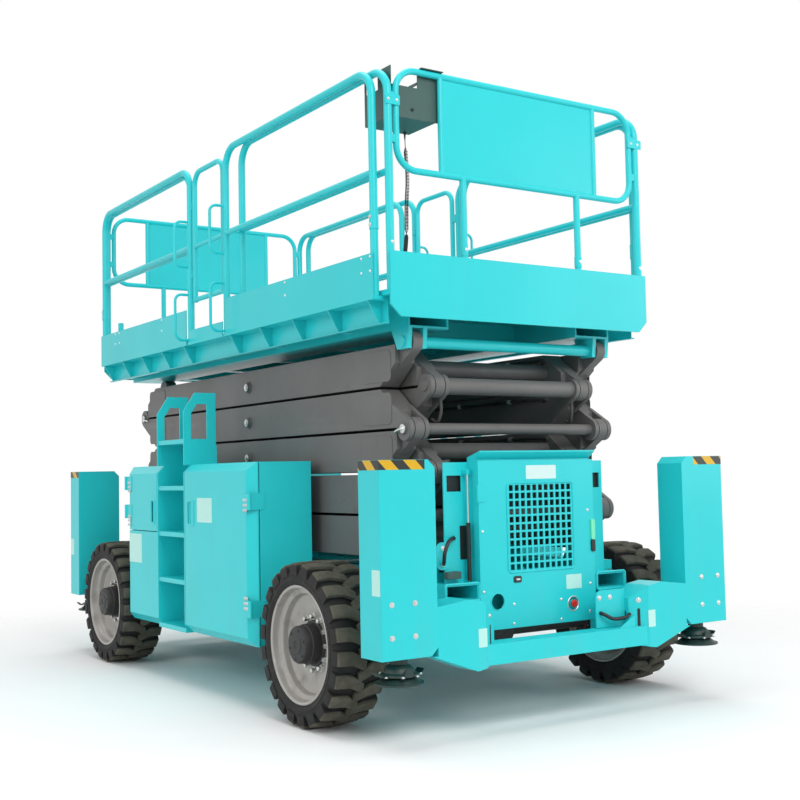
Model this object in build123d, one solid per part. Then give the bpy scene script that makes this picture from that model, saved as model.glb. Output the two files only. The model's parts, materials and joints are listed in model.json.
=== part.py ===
import os
from math import atan2, cos, degrees, hypot, pi, radians, sin, sqrt, tan

from build123d import *

# Rough-terrain scissor lift. Millimetres, +X to the machine's right seen from the front,
# +Y to the rear, +Z up, origin on the ground under the middle of the machine.

# Clearances and sheet
RUN = 0.3            # running gap between a moving piece and what carries it
GAP = 5.0            # free gap beside a moving piece
SHEET = 6.0          # wall of the cabinets and covers
PLATE = 12.0         # welded plate

# Wheels and axles
WHEELBASE = 2840.0
AXLE_Z = 420.0       # height of the wheel centre, tyre outer radius at the lug tips
TYRE_X = 1025.0      # middle of the tyre from the machine's middle
TYRE_W = 290.0
LUG_H = 26.0         # height of a lug
LUG_N = 22           # lugs on each side of a tyre
TYRE_SIDES = 44      # flats round a tyre, twice the lugs
SHOULDER = 34.0      # height of the tyre's slanted shoulder
RIM_R = 294.0        # outer radius of the rim's seat
RIM_WALL = 9.0
RIM_W = 262.0
DISC_X = 40.0        # wheel disc's outer face, outwards from the tyre's middle
DISC_T = 14.0
HUB_R = 100.0
HUB_OUT = 150.0      # hub's outer face, outwards from the tyre's middle
SPINDLE_R = 70.0
KINGPIN_X = 850.0
KINGPIN_R = 26.0
YOKE_Z = 92.0        # kingpin ears above and below the axle
AXLE_BEAM_R = 72.0
DIFF_R = 158.0
DIFF_D = 150.0       # half depth of the differential housing
STEER_ARM = 260.0    # kingpin to tie rod, rearwards
STEER_ARM_IN = 60.0  # kingpin to tie rod, inwards

# Chassis
RAIL_IN = 240.0      # inner face of a chassis rail
RAIL_OUT = 400.0
RAIL_Z0 = 500.0
RAIL_Z1 = 700.0
RAIL_YF = -1850.0    # front end of the rails
RAIL_YR = 1893.0     # rear end of the rails
TRACK_H = 52.0       # height of the upper rail that the sliding arm runs on
CROSS_W = 140.0      # width of a cross beam
BULKHEAD_T = 8.0
BULKHEAD_X = 545.0
BULKHEAD_Z = 1330.0
POCKET_W = 205.0     # fork pocket
POCKET_H = 86.0
POCKET_X = 507.0
POCKET_Z = 672.0
POCKET_Y0 = -1950.0
POCKET_LEN = 620.0
POCKET_WALL = 8.0

# Outriggers
OUTRIG_X0 = 832.0    # inner face of a leg housing
OUTRIG_X1 = 1147.0   # outer face
OUTRIG_Y = 2190.0    # outer end face
OUTRIG_D = 183.0     # depth along the machine
OUTRIG_Z0 = 421.0
OUTRIG_Z1 = 1342.0
OUTRIG_CUT = 38.0    # chamfer at the inner corners
LEG_R = 42.0
PAD_R = 118.0
PAD_Z = 298.0        # underside of the foot pad
PAD_H = 40.0
ARM_Y = OUTRIG_Y     # front plate of the outrigger arms
ARM_D = 171.0
ARM_CUT_X = 92.0     # slanted inner corner of an arm, across the machine
ARM_CUT_Y = 58.0     # and along it
BEAM_Z0 = 341.0
BEAM_Z1 = 442.0
BEAM_D = 110.0
BEAM_IN = 6.0        # beam behind the arms' front plate

# Cabinets at the sides
POD_X0 = 763.0
POD_X1 = 1150.0
POD_Y0 = -870.0
POD_Y1 = 995.0
POD_Z0 = 340.0
POD_Z1 = 1360.0
POD_CUT = 48.0       # chamfer along the outer edges
DOOR_D = 55.0        # depth of a door's pan
LADDER_Y0 = 30.0
LADDER_Y1 = 460.0
LADDER_X = 934.0     # back of the ladder recess
LADDER_Z = 1805.0
LADDER_T = 8.0
STEP_TOP = 1519.0
STEP_PITCH = 289.0
STEP_N = 5
HATCH_Z = 935.0      # lower edge of the small door
HINGE_R = 9.0
HINGE_H = 92.0

# Covers at the ends
COVER_X = 393.0
COVER_Y = 1950.0
COVER_Z0 = 470.0
COVER_Z1 = 1350.0
DOOR_T = 28.0
GRILLE_N = 11
GRILLE_HOLE = 27.0
GRILLE_TALL = 30.0    # height of a hole
GRILLE_PITCH = 39.5
GRILLE_RISE = 41.0   # hole to hole upwards
GRILLE_X = 18.0      # grille centre from the middle
GRILLE_Z = 986.0
VISOR = 18.0         # reach of the visor past the cover
BUTTON_X = 227.0     # round button on the front door
BUTTON_Z = 565.0

# Scissor arms: all pins lie on the seams between the levels
LEVELS = 5
SEAM = 225.0         # seam to seam
PIN_Z = 833.0        # lowest seam
PIN_YF = -1730.0     # front pins
PIN_YR = 1820.0      # rear pins
ARM_GAP = 15.0       # gap between two folded levels
ARM_WALL = 10.0
OUTER_X0 = 575.0
OUTER_X1 = 695.0
INNER_X0 = 440.0
INNER_X1 = 560.0
BOSS_R = 62.0
PIN_R = 30.0
FORK_T = 26.0
ARM_NOSE = 150.0     # length of the chamfer at an arm's end
CENTRE_R = 38.0
CAP_R = 30.0
CAP_T = 14.0
TUBE_R = 45.0
ROLLER_R = 68.0

# Lift cylinders
CYL_BASE = (-1330.0, 800.0)
CYL_EYE = (1120.0, 1220.0)
CYL_TUBE = (-1500.0, 945.5)
BARREL_R = 65.0
ROD_R = 38.0
EYE_R = 58.0
EYE_W = 90.0
EAR_T = 22.0
BARREL_END = 420.0   # free rod between the barrel and the eye when folded

# Platform
DECK_Z = 2170.0
DECK_T = 20.0
DECK_X = 925.0
DECK_YF = -1830.0
DECK_YR = 2110.0
SKIRT_X = 842.0
SKIRT_Z = 2032.0
TOE_X = 930.0
TOE_Z = 2385.0
TOE_T = 5.0
GUSSETS_FRONT = 5
GUSSETS_REAR = 5
GATE_Y0 = -50.0
GATE_Y1 = 420.0
POST_OUT = 40.0      # post centre from the edge of the gate opening
RAIL_R = 21.0
RAIL_X = TOE_X - TOE_T - RAIL_R
MID_R = 18.0
RAIL_TOP = 3350.0
RAIL_MID = 2800.0
RAIL_BEND = 130.0
GATE_R = 17.0
GATE_X = TOE_X - 36.0
GATE_FREE_Y = GATE_Y0 + 20.0
GATE_HINGE_Y = GATE_Y1 - 14.0
GATE_Z = 2430.0      # lower end of the gate
GATE_TOP = 3290.0
GATE_BEND = 90.0
GRAB_R = 9.0         # grab handles on the gate posts
GRAB_OUT = 112.0
GRAB_H = 300.0
EXT_X = 856.0        # middle of the sliding rails
EXT_T = 28.0
TOEBOARD_Y = 1916.0
TOEBOARD_X = 880.0
TOEBOARD_Z0 = 2060.0
TOEBOARD_Z1 = 2388.0
END_X = 808.0        # half width of the end frame
END_R = 17.0
END_Z0 = 2815.0
END_Z1 = 3333.0
END_PANEL = 530.0
END_LEG = 395.0
END_BEND = 120.0

HALF_BASE = WHEELBASE / 2
SIDEWALL_R = (RIM_R + 0.2) / cos(pi / TYRE_SIDES)  # inner corners of the tyre, its flats lie on the rim
ARM_H = SEAM - ARM_GAP
CENTRE_Y = (PIN_YF + PIN_YR) / 2
TRACK_Z1 = PIN_Z - ROLLER_R - RUN
TRACK_Z0 = TRACK_Z1 - TRACK_H
TOP_PIN_Z = PIN_Z + LEVELS * SEAM
DECK_BEAM_Z = TOP_PIN_Z + ROLLER_R + RUN


def box(x0, x1, y0, y1, z0, z1):
    """A block between two corners."""
    size = Box(x1 - x0, y1 - y0, z1 - z0)
    return Pos((x0 + x1) / 2, (y0 + y1) / 2, (z0 + z1) / 2) * size


def prism_x(points, x0, x1):
    """An outline of (y, z) points carried along X."""
    face = make_face(Polyline(*[(0, y, z) for y, z in points], close=True))
    return Pos(x0, 0, 0) * extrude(face, amount=x1 - x0, dir=(1, 0, 0))


def prism_y(points, y0, y1):
    """An outline of (x, z) points carried along Y."""
    face = make_face(Polyline(*[(x, 0, z) for x, z in points], close=True))
    return Pos(0, y0, 0) * extrude(face, amount=y1 - y0, dir=(0, 1, 0))


def prism_z(points, z0, z1):
    """An outline of (x, y) points carried along Z."""
    face = make_face(Polyline(*[(x, y, 0) for x, y in points], close=True))
    return Pos(0, 0, z0) * extrude(face, amount=z1 - z0, dir=(0, 0, 1))


def rod_x(y, z, r, x0, x1):
    """A round bar along X."""
    return Pos((x0 + x1) / 2, y, z) * Rot(0, 90, 0) * Cylinder(r, abs(x1 - x0))


def rod_y(x, z, r, y0, y1):
    """A round bar along Y."""
    return Pos(x, (y0 + y1) / 2, z) * Rot(90, 0, 0) * Cylinder(r, abs(y1 - y0))


def rod_z(x, y, r, z0, z1):
    """A round bar along Z."""
    return Pos(x, y, (z0 + z1) / 2) * Cylinder(r, abs(z1 - z0))


def mirror_x(shape):
    """The same piece on the other side."""
    return mirror(shape, about=Plane.YZ)


def mirror_y(shape):
    """The same piece at the other end."""
    return mirror(shape, about=Plane.XZ)


def both_sides(shape):
    """A piece and its mirror image, joined."""
    return shape + mirror_x(shape)


def bent_tube(points, r, bend):
    """A round tube along straight runs with one bend radius, as a solid bar."""
    path = FilletPolyline(*points, radius=bend)
    section = Plane(origin=path @ 0, z_dir=path % 0) * Circle(r)
    return sweep(section, path=path)


def save(name, shape):
    """Write one node."""
    export_step(shape, os.path.join("parts", name + ".step"))


# Tyres and wheels, made round the X axis with the outer side towards -X

def lug_outline(side):
    """Corners (x, t) of one dog-leg lug, x across the tread and t along it."""
    edge = TYRE_W / 2
    bar = 2 * pi * AXLE_Z / LUG_N
    outer = 0.30 * bar
    inner = 0.24 * bar
    lean = 0.34 * bar
    points = [(edge, -outer), (0.35 * edge, -outer), (-0.10 * edge, lean - inner),
              (-0.10 * edge, lean + inner), (0.35 * edge, outer), (edge, outer)]
    return [(side * x, t) for x, t in points]


def lug_angle(index, side):
    """Turn of one lug about the axle, staggered by half a pitch between the sides."""
    return 360.0 / LUG_N * (index + (0.25 if side > 0 else -0.25))


def lug_plane():
    """Distance of the lugs' flat tops from the axle, with the lowest corner on the ground."""
    best = AXLE_Z
    for side in (1, -1):
        for index in range(LUG_N):
            turn = radians(lug_angle(index, side))
            if cos(turn) < 0.5:
                continue
            for _, t in lug_outline(side):
                best = min(best, (AXLE_Z - t * sin(turn)) / cos(turn))
    return best


def ring_solid(profile, sides, phase):
    """A closed solid of flat faces from a closed (x, r) profile turned about X."""
    faces = []
    count = len(profile)
    step = 2 * pi / sides
    for k in range(sides):
        a0 = phase + k * step
        a1 = a0 + step
        for i in range(count):
            x0, r0 = profile[i]
            x1, r1 = profile[(i + 1) % count]
            corners = [(x0, r0 * sin(a0), -r0 * cos(a0)), (x0, r0 * sin(a1), -r0 * cos(a1)),
                       (x1, r1 * sin(a1), -r1 * cos(a1)), (x1, r1 * sin(a0), -r1 * cos(a0))]
            faces.append(Face(Wire.make_polygon([Vector(*c) for c in corners], close=True)))
    return Solid(Shell(faces))


def make_tyre():
    """Tyre with its lugs, round the X axis, middle at the origin, hub side inwards at +X."""
    top = lug_plane()
    tread = top - LUG_H
    half = TYRE_W / 2
    profile = [(-half, SIDEWALL_R + 30), (-half, tread - SHOULDER), (-half + 24, tread), (half - 24, tread),
               (half, tread - SHOULDER), (half, SIDEWALL_R + 30), (half - 22, SIDEWALL_R), (-half + 22, SIDEWALL_R)]
    body = ring_solid(profile, TYRE_SIDES, pi / TYRE_SIDES)
    lugs = []
    for side in (1, -1):
        outline = lug_outline(side)
        face = make_face(Polyline(*[(x, t, 0) for x, t in outline], close=True))
        block = Pos(0, 0, -top) * extrude(face, amount=LUG_H + 16, dir=(0, 0, 1))
        for index in range(LUG_N):
            lugs.append(Rot(lug_angle(index, side), 0, 0) * block)
    return body + lugs


def make_wheel():
    """Rim, disc, planetary hub and its spindle end, outer side towards -X."""
    half = RIM_W / 2
    well = RIM_R - 34
    seat = half - 42
    profile = [(-half, RIM_R), (-seat, RIM_R), (-seat + 16, well), (seat - 16, well), (seat, RIM_R),
               (half, RIM_R), (half, RIM_R - RIM_WALL), (seat + 6, RIM_R - RIM_WALL), (seat - 10, well - RIM_WALL),
               (-seat + 10, well - RIM_WALL), (-seat - 6, RIM_R - RIM_WALL), (-half, RIM_R - RIM_WALL)]
    face = make_face(Polyline(*[(x, r, 0) for x, r in profile], close=True))
    rim = revolve(face, axis=Axis.X)
    disc = rod_x(0, 0, well - RIM_WALL / 2, -DISC_X, -DISC_X + DISC_T)
    hub = rod_x(0, 0, HUB_R, -HUB_OUT, -DISC_X)
    inner = rod_x(0, 0, HUB_R + 45, -DISC_X + DISC_T, -DISC_X + DISC_T + 34)
    return rim + disc + hub + inner


def place_wheel(shape, side, end):
    """Move a wheel piece to its corner; side -1 is left, end -1 is front."""
    turned = shape if side < 0 else mirror_x(shape)
    return Pos(side * TYRE_X, end * HALF_BASE, AXLE_Z) * turned


KNUCKLE_OUT = TYRE_X + DISC_X - DISC_T - 34 - RUN


def make_knuckle():
    """Left knuckle: kingpin boss, spindle and steering arm."""
    y = -HALF_BASE
    boss = rod_z(-KINGPIN_X, y, KINGPIN_R + 34, AXLE_Z - YOKE_Z + 24 + GAP, AXLE_Z + YOKE_Z - 24 - GAP)
    pin = rod_z(-KINGPIN_X, y, KINGPIN_R, AXLE_Z - YOKE_Z - 2, AXLE_Z + YOKE_Z + 2)
    spindle = rod_x(y, AXLE_Z, SPINDLE_R - 12, -KNUCKLE_OUT, -KINGPIN_X)
    ay = y + STEER_ARM
    ax = -KINGPIN_X + STEER_ARM_IN
    arm = prism_z([(-KINGPIN_X - 26, y), (-KINGPIN_X + 20, y), (ax + 16, ay + 20), (ax - 26, ay + 20)],
                  AXLE_Z - 40, AXLE_Z - 18)
    return boss + pin + spindle + arm


def make_tie_rod():
    """Rod between the two steering arms, below them."""
    y = -HALF_BASE + STEER_ARM
    x = KINGPIN_X - STEER_ARM_IN
    z = AXLE_Z - 40 - RUN - 24
    bar = rod_x(y, z, 17, -x, x)
    ends = both_sides(rod_z(x, y, 26, z - 22, z + 24))
    return bar + ends


def make_axle(steered):
    """Axle beam with its differential housing; the steered one ends in yokes."""
    end = -1 if steered else 1
    y = end * HALF_BASE
    reach = KINGPIN_X - 100 if steered else KNUCKLE_OUT
    beam = rod_x(y, AXLE_Z, AXLE_BEAM_R, -reach, reach)
    diff = Pos(0, y, AXLE_Z) * Sphere(DIFF_R)
    bowl = rod_y(0, AXLE_Z, DIFF_R - 30, y - DIFF_D, y + DIFF_D)
    saddle = both_sides(box(RAIL_IN + 10, RAIL_OUT - 10, y - 75, y + 75, AXLE_Z, RAIL_Z0))
    axle = beam + diff + bowl + saddle
    if steered:
        for s in (-1, 1):
            plate_x = sorted((s * (KINGPIN_X - 90), s * (KINGPIN_X + KINGPIN_R + 22)))
            for z in (-YOKE_Z, YOKE_Z):
                ear = box(plate_x[0], plate_x[1], y - 48, y + 48, AXLE_Z + z - 12, AXLE_Z + z + 12)
                hole = rod_z(s * KINGPIN_X, y, KINGPIN_R + RUN, AXLE_Z + z - 20, AXLE_Z + z + 20)
                axle = axle + (ear - hole)
            web = sorted((s * (KINGPIN_X - 102), s * (KINGPIN_X - 76)))
            axle = axle + box(web[0], web[1], y - 36, y + 36, AXLE_Z - YOKE_Z - 12, AXLE_Z + YOKE_Z + 12)
    else:
        flange = both_sides(rod_x(y, AXLE_Z, SPINDLE_R + 40, KNUCKLE_OUT - 60, KNUCKLE_OUT - 20))
        axle = axle + flange
    return axle


# Chassis

def make_chassis():
    """Rails, upper track rails, cross beams and the end bulkheads."""
    wall = PLATE
    rail = box(RAIL_IN, RAIL_OUT, RAIL_YF, RAIL_YR, RAIL_Z0, RAIL_Z1)
    rail -= box(RAIL_IN + wall, RAIL_OUT - wall, RAIL_YF - 1, RAIL_YR + 1, RAIL_Z0 + wall, RAIL_Z1 - wall)
    frame = both_sides(rail)
    track = box(INNER_X0 - 15, OUTER_X1 - 10, PIN_YF - 40, RAIL_YR, TRACK_Z0, TRACK_Z1)
    track -= box(INNER_X1 - 40, OUTER_X0 + 20, PIN_YF + 300, RAIL_YR - 120, TRACK_Z0 - 1, TRACK_Z1 + 1)
    frame += both_sides(track)
    for y in (-1700, -900, 0, 900, 1700):
        frame += box(-OUTER_X1 + 60, OUTER_X1 - 60, y - CROSS_W / 2, y + CROSS_W / 2, RAIL_Z1 - 12, TRACK_Z0)
    for y in (POD_Y0 + 250, POD_Y1 - 250):
        frame += box(-POD_X0, POD_X0, y - 60, y + 60, POD_Z0 + 60, RAIL_Z0)
    # Front pins of the lowest inner arms
    for s in (-1, 1):
        for x0 in (INNER_X0, INNER_X1 - FORK_T):
            x1 = x0 + FORK_T
            ear = prism_x([(PIN_YF - 55, TRACK_Z1 - 2), (PIN_YF + 110, TRACK_Z1 - 2), (PIN_YF + 45, PIN_Z + 40),
                           (PIN_YF - 45, PIN_Z + 40)], *sorted((s * x0, s * x1)))
            frame += ear
        frame += rod_x(PIN_YF, PIN_Z, PIN_R, *sorted((s * INNER_X0, s * INNER_X1)))
    # End bulkheads behind the covers
    for end in (-1, 1):
        y = RAIL_YF if end < 0 else RAIL_YR
        y0, y1 = sorted((y, y + end * BULKHEAD_T))
        bulkhead = box(-BULKHEAD_X, BULKHEAD_X, y0, y1, RAIL_Z0, BULKHEAD_Z)
        bulkhead -= box(-COVER_X + 60, COVER_X - 60, y0 - 1, y1 + 1, 760, 1240)
        bulkhead -= both_sides(box(433, 525, y0 - 1, y1 + 1, 1180, 1262))
        frame += bulkhead
        cross = box(-RAIL_IN, RAIL_IN, *sorted((y - end * 120, y)), RAIL_Z0, RAIL_Z0 + 150)
        frame += cross
    # Fork pockets at the front
    for s in (-1, 1):
        x = s * POCKET_X
        outer = box(x - POCKET_W / 2, x + POCKET_W / 2, POCKET_Y0, POCKET_Y0 + POCKET_LEN,
                    POCKET_Z - POCKET_H / 2, POCKET_Z + POCKET_H / 2)
        inner = box(x - POCKET_W / 2 + POCKET_WALL, x + POCKET_W / 2 - POCKET_WALL, POCKET_Y0 - 1,
                    POCKET_Y0 + POCKET_LEN + 1, POCKET_Z - POCKET_H / 2 + POCKET_WALL,
                    POCKET_Z + POCKET_H / 2 - POCKET_WALL)
        frame = frame - outer + (outer - inner)
    return frame


# Outriggers

def make_housing(side, end):
    """Hollow leg housing with a guide bore in its floor."""
    cut = OUTRIG_CUT
    outline = [(OUTRIG_X0 + cut, OUTRIG_Z0), (OUTRIG_X1, OUTRIG_Z0), (OUTRIG_X1, OUTRIG_Z1),
               (OUTRIG_X0 + cut, OUTRIG_Z1), (OUTRIG_X0, OUTRIG_Z1 - cut), (OUTRIG_X0, OUTRIG_Z0 + cut)]
    wall = PLATE
    hollow = [(OUTRIG_X0 + cut + 4, OUTRIG_Z0 + 20), (OUTRIG_X1 - wall, OUTRIG_Z0 + 20),
              (OUTRIG_X1 - wall, OUTRIG_Z1 - wall), (OUTRIG_X0 + cut + 4, OUTRIG_Z1 - wall),
              (OUTRIG_X0 + wall, OUTRIG_Z1 - cut - 4), (OUTRIG_X0 + wall, OUTRIG_Z0 + cut + 4)]
    y0 = OUTRIG_Y - OUTRIG_D
    body = prism_y(outline, y0, OUTRIG_Y) - prism_y(hollow, y0 + wall, OUTRIG_Y - wall)
    bore = rod_z(LEG_X, LEG_Y, LEG_R + RUN, OUTRIG_Z0 - 1, OUTRIG_Z0 + 30)
    body -= bore
    shape = body if side > 0 else mirror_x(body)
    return shape if end > 0 else mirror_y(shape)


LEG_X = (OUTRIG_X0 + OUTRIG_X1) / 2 + 8
LEG_Y = OUTRIG_Y - OUTRIG_D / 2


def make_leg(side, end):
    """Jack rod and its foot pad."""
    rod = rod_z(LEG_X, LEG_Y, LEG_R, PAD_Z + PAD_H, OUTRIG_Z0 + 560)
    ball = rod_z(LEG_X, LEG_Y, LEG_R + 14, PAD_Z + PAD_H - 4, PAD_Z + PAD_H + 46)
    pad = Pos(LEG_X, LEG_Y, PAD_Z + PAD_H / 2) * Cone(PAD_R, LEG_R + 22, PAD_H)
    rim = rod_z(LEG_X, LEG_Y, PAD_R, PAD_Z, PAD_Z + 8)
    shape = rod + ball + pad + rim
    shape = shape if side > 0 else mirror_x(shape)
    return shape if end > 0 else mirror_y(shape)


def make_outrigger_frame(end):
    """Both leg housings, their box arms, the low beam and the brackets to the chassis."""
    y1 = ARM_Y
    y0 = ARM_Y - ARM_D
    arm_points = [(455, 345), (600, 322), (OUTRIG_X0 + 60, OUTRIG_Z0 + 6), (OUTRIG_X0 + 60, 640), (650, 668),
                  (560, 655), (455, 590)]
    arm = prism_y(arm_points, y0, y1)
    housing = make_housing(1, 1)
    room = box(OUTRIG_X0, OUTRIG_X1 + 10, y0 - 1, OUTRIG_Y, OUTRIG_Z0 - 5, OUTRIG_Z1)
    arm = arm - room
    corner = [(450, y1 + 1), (455 + ARM_CUT_X, y1 + 1), (455 + ARM_CUT_X, y1), (455, y1 - ARM_CUT_Y),
              (450, y1 - ARM_CUT_Y)]
    arm -= prism_z(corner, 300, 700)
    arm -= box(580, 640, y0 + 12, y1 - 12, 380, 560)
    arm -= rod_x(y1 - 105, 505, 28, 440, 600)
    link = box(430, 600, (-RAIL_YF if end < 0 else RAIL_YR) + BULKHEAD_T, y0 + 5, 372, 600)
    side = arm + housing + link
    frame = both_sides(side)
    frame += box(-560, 560, y1 - BEAM_IN - BEAM_D, y1 - BEAM_IN, BEAM_Z0, BEAM_Z1)
    return frame if end > 0 else mirror_y(frame)


# Side cabinets with the ladder

def pod_outline(inset):
    """Section of a cabinet, seen along Y, moved in by a wall."""
    a = POD_X0 + inset
    b = POD_X1 - inset
    z0 = POD_Z0 + inset
    z1 = POD_Z1 - inset
    cut = POD_CUT - inset * (2 - sqrt(2))
    return [(a, z0), (b - cut, z0), (b, z0 + cut), (b, z1 - cut), (b - cut, z1), (a, z1)]


def edge_cut(y, way, inset):
    """Wedge outside the chamfer of a cabinet's upright outer edge, moved in by a wall."""
    cut = POD_CUT + inset * sqrt(2)
    out = 10.0
    return prism_z([(POD_X1 - cut - out, y + way * out), (POD_X1 + out, y + way * out),
                    (POD_X1 + out, y - way * (cut + out))], POD_Z0 - 1, POD_Z1 + 1)


def make_pod():
    """Right cabinet: two hollow boxes with door openings and the ladder between them."""
    shell = prism_y(pod_outline(0), POD_Y0, POD_Y1) - edge_cut(POD_Y1, 1, 0)
    shell -= prism_y(pod_outline(SHEET), POD_Y0 + SHEET, LADDER_Y0 - SHEET)
    shell -= prism_y(pod_outline(SHEET), LADDER_Y1 + SHEET, POD_Y1 - SHEET) - edge_cut(POD_Y1, 1, SHEET)
    shell -= box(LADDER_X, POD_X1 + 1, LADDER_Y0 + LADDER_T, LADDER_Y1 - LADDER_T, POD_Z0 - 1, POD_Z1 + 1)
    # Hollow behind the ladder
    shell -= box(POD_X0 + SHEET, LADDER_X - SHEET, LADDER_Y0 + SHEET, LADDER_Y1 - SHEET, POD_Z0 + SHEET,
                 POD_Z1 - SHEET)
    # Door openings
    shell -= box(POD_X1 - DOOR_D - GAP, POD_X1 + 1, POD_Y0 - 1, LADDER_Y0 - GAP, POD_Z0 - 1, POD_Z1 + 1)
    shell -= box(POD_X1 - DOOR_D - GAP, POD_X1 + 1, LADDER_Y1 + GAP, POD_Y1 + 1, HATCH_Z, POD_Z1 + 1)
    # Ladder plates above the cabinet, with hand holes
    for y0, y1 in ((LADDER_Y0, LADDER_Y0 + LADDER_T), (LADDER_Y1 - LADDER_T, LADDER_Y1)):
        cut = 75.0
        outline = [(LADDER_X, POD_Z1 - 2), (POD_X1, POD_Z1 - 2), (POD_X1, LADDER_Z - cut - 40),
                   (POD_X1 - cut, LADDER_Z), (LADDER_X, LADDER_Z)]
        plate = prism_y(outline, y0, y1)
        hand = [(LADDER_X + 60, LADDER_Z - 290), (POD_X1 - 50, LADDER_Z - 290), (POD_X1 - 50, LADDER_Z - 130),
                (POD_X1 - 90, LADDER_Z - 70), (LADDER_X + 60, LADDER_Z - 70)]
        plate -= prism_y(hand, y0 - 1, y1 + 1)
        shell += plate
    shell += box(LADDER_X - SHEET, LADDER_X, LADDER_Y0, LADDER_Y1, POD_Z1 - SHEET, LADDER_Z - 330)
    for k in range(STEP_N):
        z = STEP_TOP - k * STEP_PITCH
        shell += box(LADDER_X - 2, POD_X1 - 6, LADDER_Y0 + 2, LADDER_Y1 - 2, z - 28, z)
    shell += hinge_leaves(POD_Y0, -1, (POD_Z1 - 220, POD_Z0 + 210), False)
    shell += hinge_leaves(POD_Y1, 1, (POD_Z1 - 110, POD_Z1 - 300), False)
    return shell


def hinge_leaves(y, way, heights, on_door):
    """Hinge leaves at a cabinet corner; the barrel belongs to the door."""
    hx = POD_X1 + 6
    hy = y + way * 6
    parts = []
    for z in heights:
        z0, z1 = z - HINGE_H / 2, z + HINGE_H / 2
        if on_door:
            barrel = rod_z(hx, hy, HINGE_R, z0, z1)
            leaf = box(POD_X1, POD_X1 + 4, *sorted((hy, y - way * (POD_CUT + 42))), z0, z1)
            parts.append(barrel + leaf)
        else:
            edge = hx - sqrt((HINGE_R + RUN) ** 2 - 2 ** 2)
            parts.append(box(POD_X1 - DOOR_D - 35, edge, *sorted((y, y + way * 4)), z0, z1))
    shape = parts[0]
    for part in parts[1:]:
        shape = shape + part
    return shape


def make_pod_door(y0, y1, z0, hinge_y, way, heights, pull_y):
    """A door pan that follows the cabinet's outer section, with a sunk pull."""
    limit = box(POD_X1 - DOOR_D, POD_X1 + 1, y0, y1, z0, POD_Z1 + 1)
    pan = (prism_y(pod_outline(0), y0, y1) & limit) - edge_cut(hinge_y, way, 0)
    hollow = prism_y(pod_outline(SHEET), y0 + SHEET, y1 - SHEET) - edge_cut(hinge_y, way, SHEET)
    bottom = z0 + SHEET if z0 > POD_Z0 else POD_Z0 - 1
    hollow &= box(POD_X1 - DOOR_D - 1, POD_X1 + 1, y0, y1, bottom, POD_Z1 + 1)
    pan -= hollow
    pan -= box(POD_X1 - 7, POD_X1 + 1, pull_y - 20, pull_y + 20, 1000, 1130)
    pull = box(POD_X1 - 30, POD_X1 - SHEET + 2, pull_y - 24, pull_y + 24, 996, 1134)
    pull -= box(POD_X1 - 26, POD_X1 + 1, pull_y - 20, pull_y + 20, 1000, 1130)
    pan += pull
    return pan + hinge_leaves(hinge_y, way, heights, True)


# End covers

def make_cover(end):
    """Box round the cover opening with side walls, top visor and a foot; the rear one has a slotted back."""
    front = end < 0
    y1 = COVER_Y - DOOR_T - RUN if front else COVER_Y
    y0 = (-RAIL_YF if front else RAIL_YR) + BULKHEAD_T
    top = COVER_Z1 - 8
    body = box(-COVER_X, COVER_X, y0, y1, COVER_Z0, top)
    inside = y1 + 1 if front else y1 - SHEET
    body -= box(-COVER_X + SHEET, COVER_X - SHEET, y0 - 1, inside, COVER_Z0 + SHEET, top - SHEET)
    lip = COVER_Y + VISOR
    body += prism_x([(y0, top), (y1, top), (lip, COVER_Z1 + 28), (lip, COVER_Z1 + 36), (y0, COVER_Z1 + 4)],
                    -COVER_X, COVER_X)
    if front:
        body += box(COVER_X - 60, COVER_X - SHEET, y1 - 16, y1, COVER_Z0 + 60, COVER_Z0 + 100)
        return mirror_y(body)
    for k in range(8):
        z = 1200 - k * 36
        body -= box(-180, 180, y1 - SHEET - 1, y1 + 1, z, z + 16)
    return body


def make_cover_door():
    """Front door with the square-hole grille, a round button recess and its button."""
    y0 = -COVER_Y
    y1 = -COVER_Y + DOOR_T
    door = box(-COVER_X, COVER_X, y0, y1, COVER_Z0, COVER_Z1 - 14)
    door -= box(-COVER_X + 10, COVER_X - 10, y0 + SHEET, y1 + 1, COVER_Z0 + 10, COVER_Z1 - 24)
    half = (GRILLE_N - 1) / 2
    holes = []
    for i in range(GRILLE_N):
        for j in range(GRILLE_N):
            x = GRILLE_X + (i - half) * GRILLE_PITCH
            z = GRILLE_Z + (j - half) * GRILLE_RISE
            h = GRILLE_HOLE / 2
            v = GRILLE_TALL / 2
            holes.append(box(x - h, x + h, y0 - 1, y0 + SHEET + 1, z - v, z + v))
    door = door - holes
    door -= rod_y(-283, 612, 40, y0 - 1, y0 + SHEET + 1)
    door -= rod_y(BUTTON_X, BUTTON_Z, 34, y0 - 1, y0 + SHEET + 1)
    cup = rod_y(BUTTON_X, BUTTON_Z, 40, y0 + 1, y0 + 24) - rod_y(BUTTON_X, BUTTON_Z, 34, y0 - 1, y0 + 18)
    button = rod_y(BUTTON_X, BUTTON_Z, 20, y0 - 6, y0 + 20)
    door += cup
    door += button
    hx = -COVER_X - 6
    hy = -COVER_Y - 6
    for z in (COVER_Z0 + 90, COVER_Z1 - 180):
        door += rod_z(hx, hy, HINGE_R, z - HINGE_H / 2, z + HINGE_H / 2)
        door += box(hx, -COVER_X + 45, -COVER_Y - 4, -COVER_Y, z - HINGE_H / 2, z + HINGE_H / 2)
    return door


# Scissor arms

def seam_z(index):
    """Height of a seam: 0 is the top pin, LEVELS the lowest."""
    return TOP_PIN_Z - index * SEAM


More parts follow.
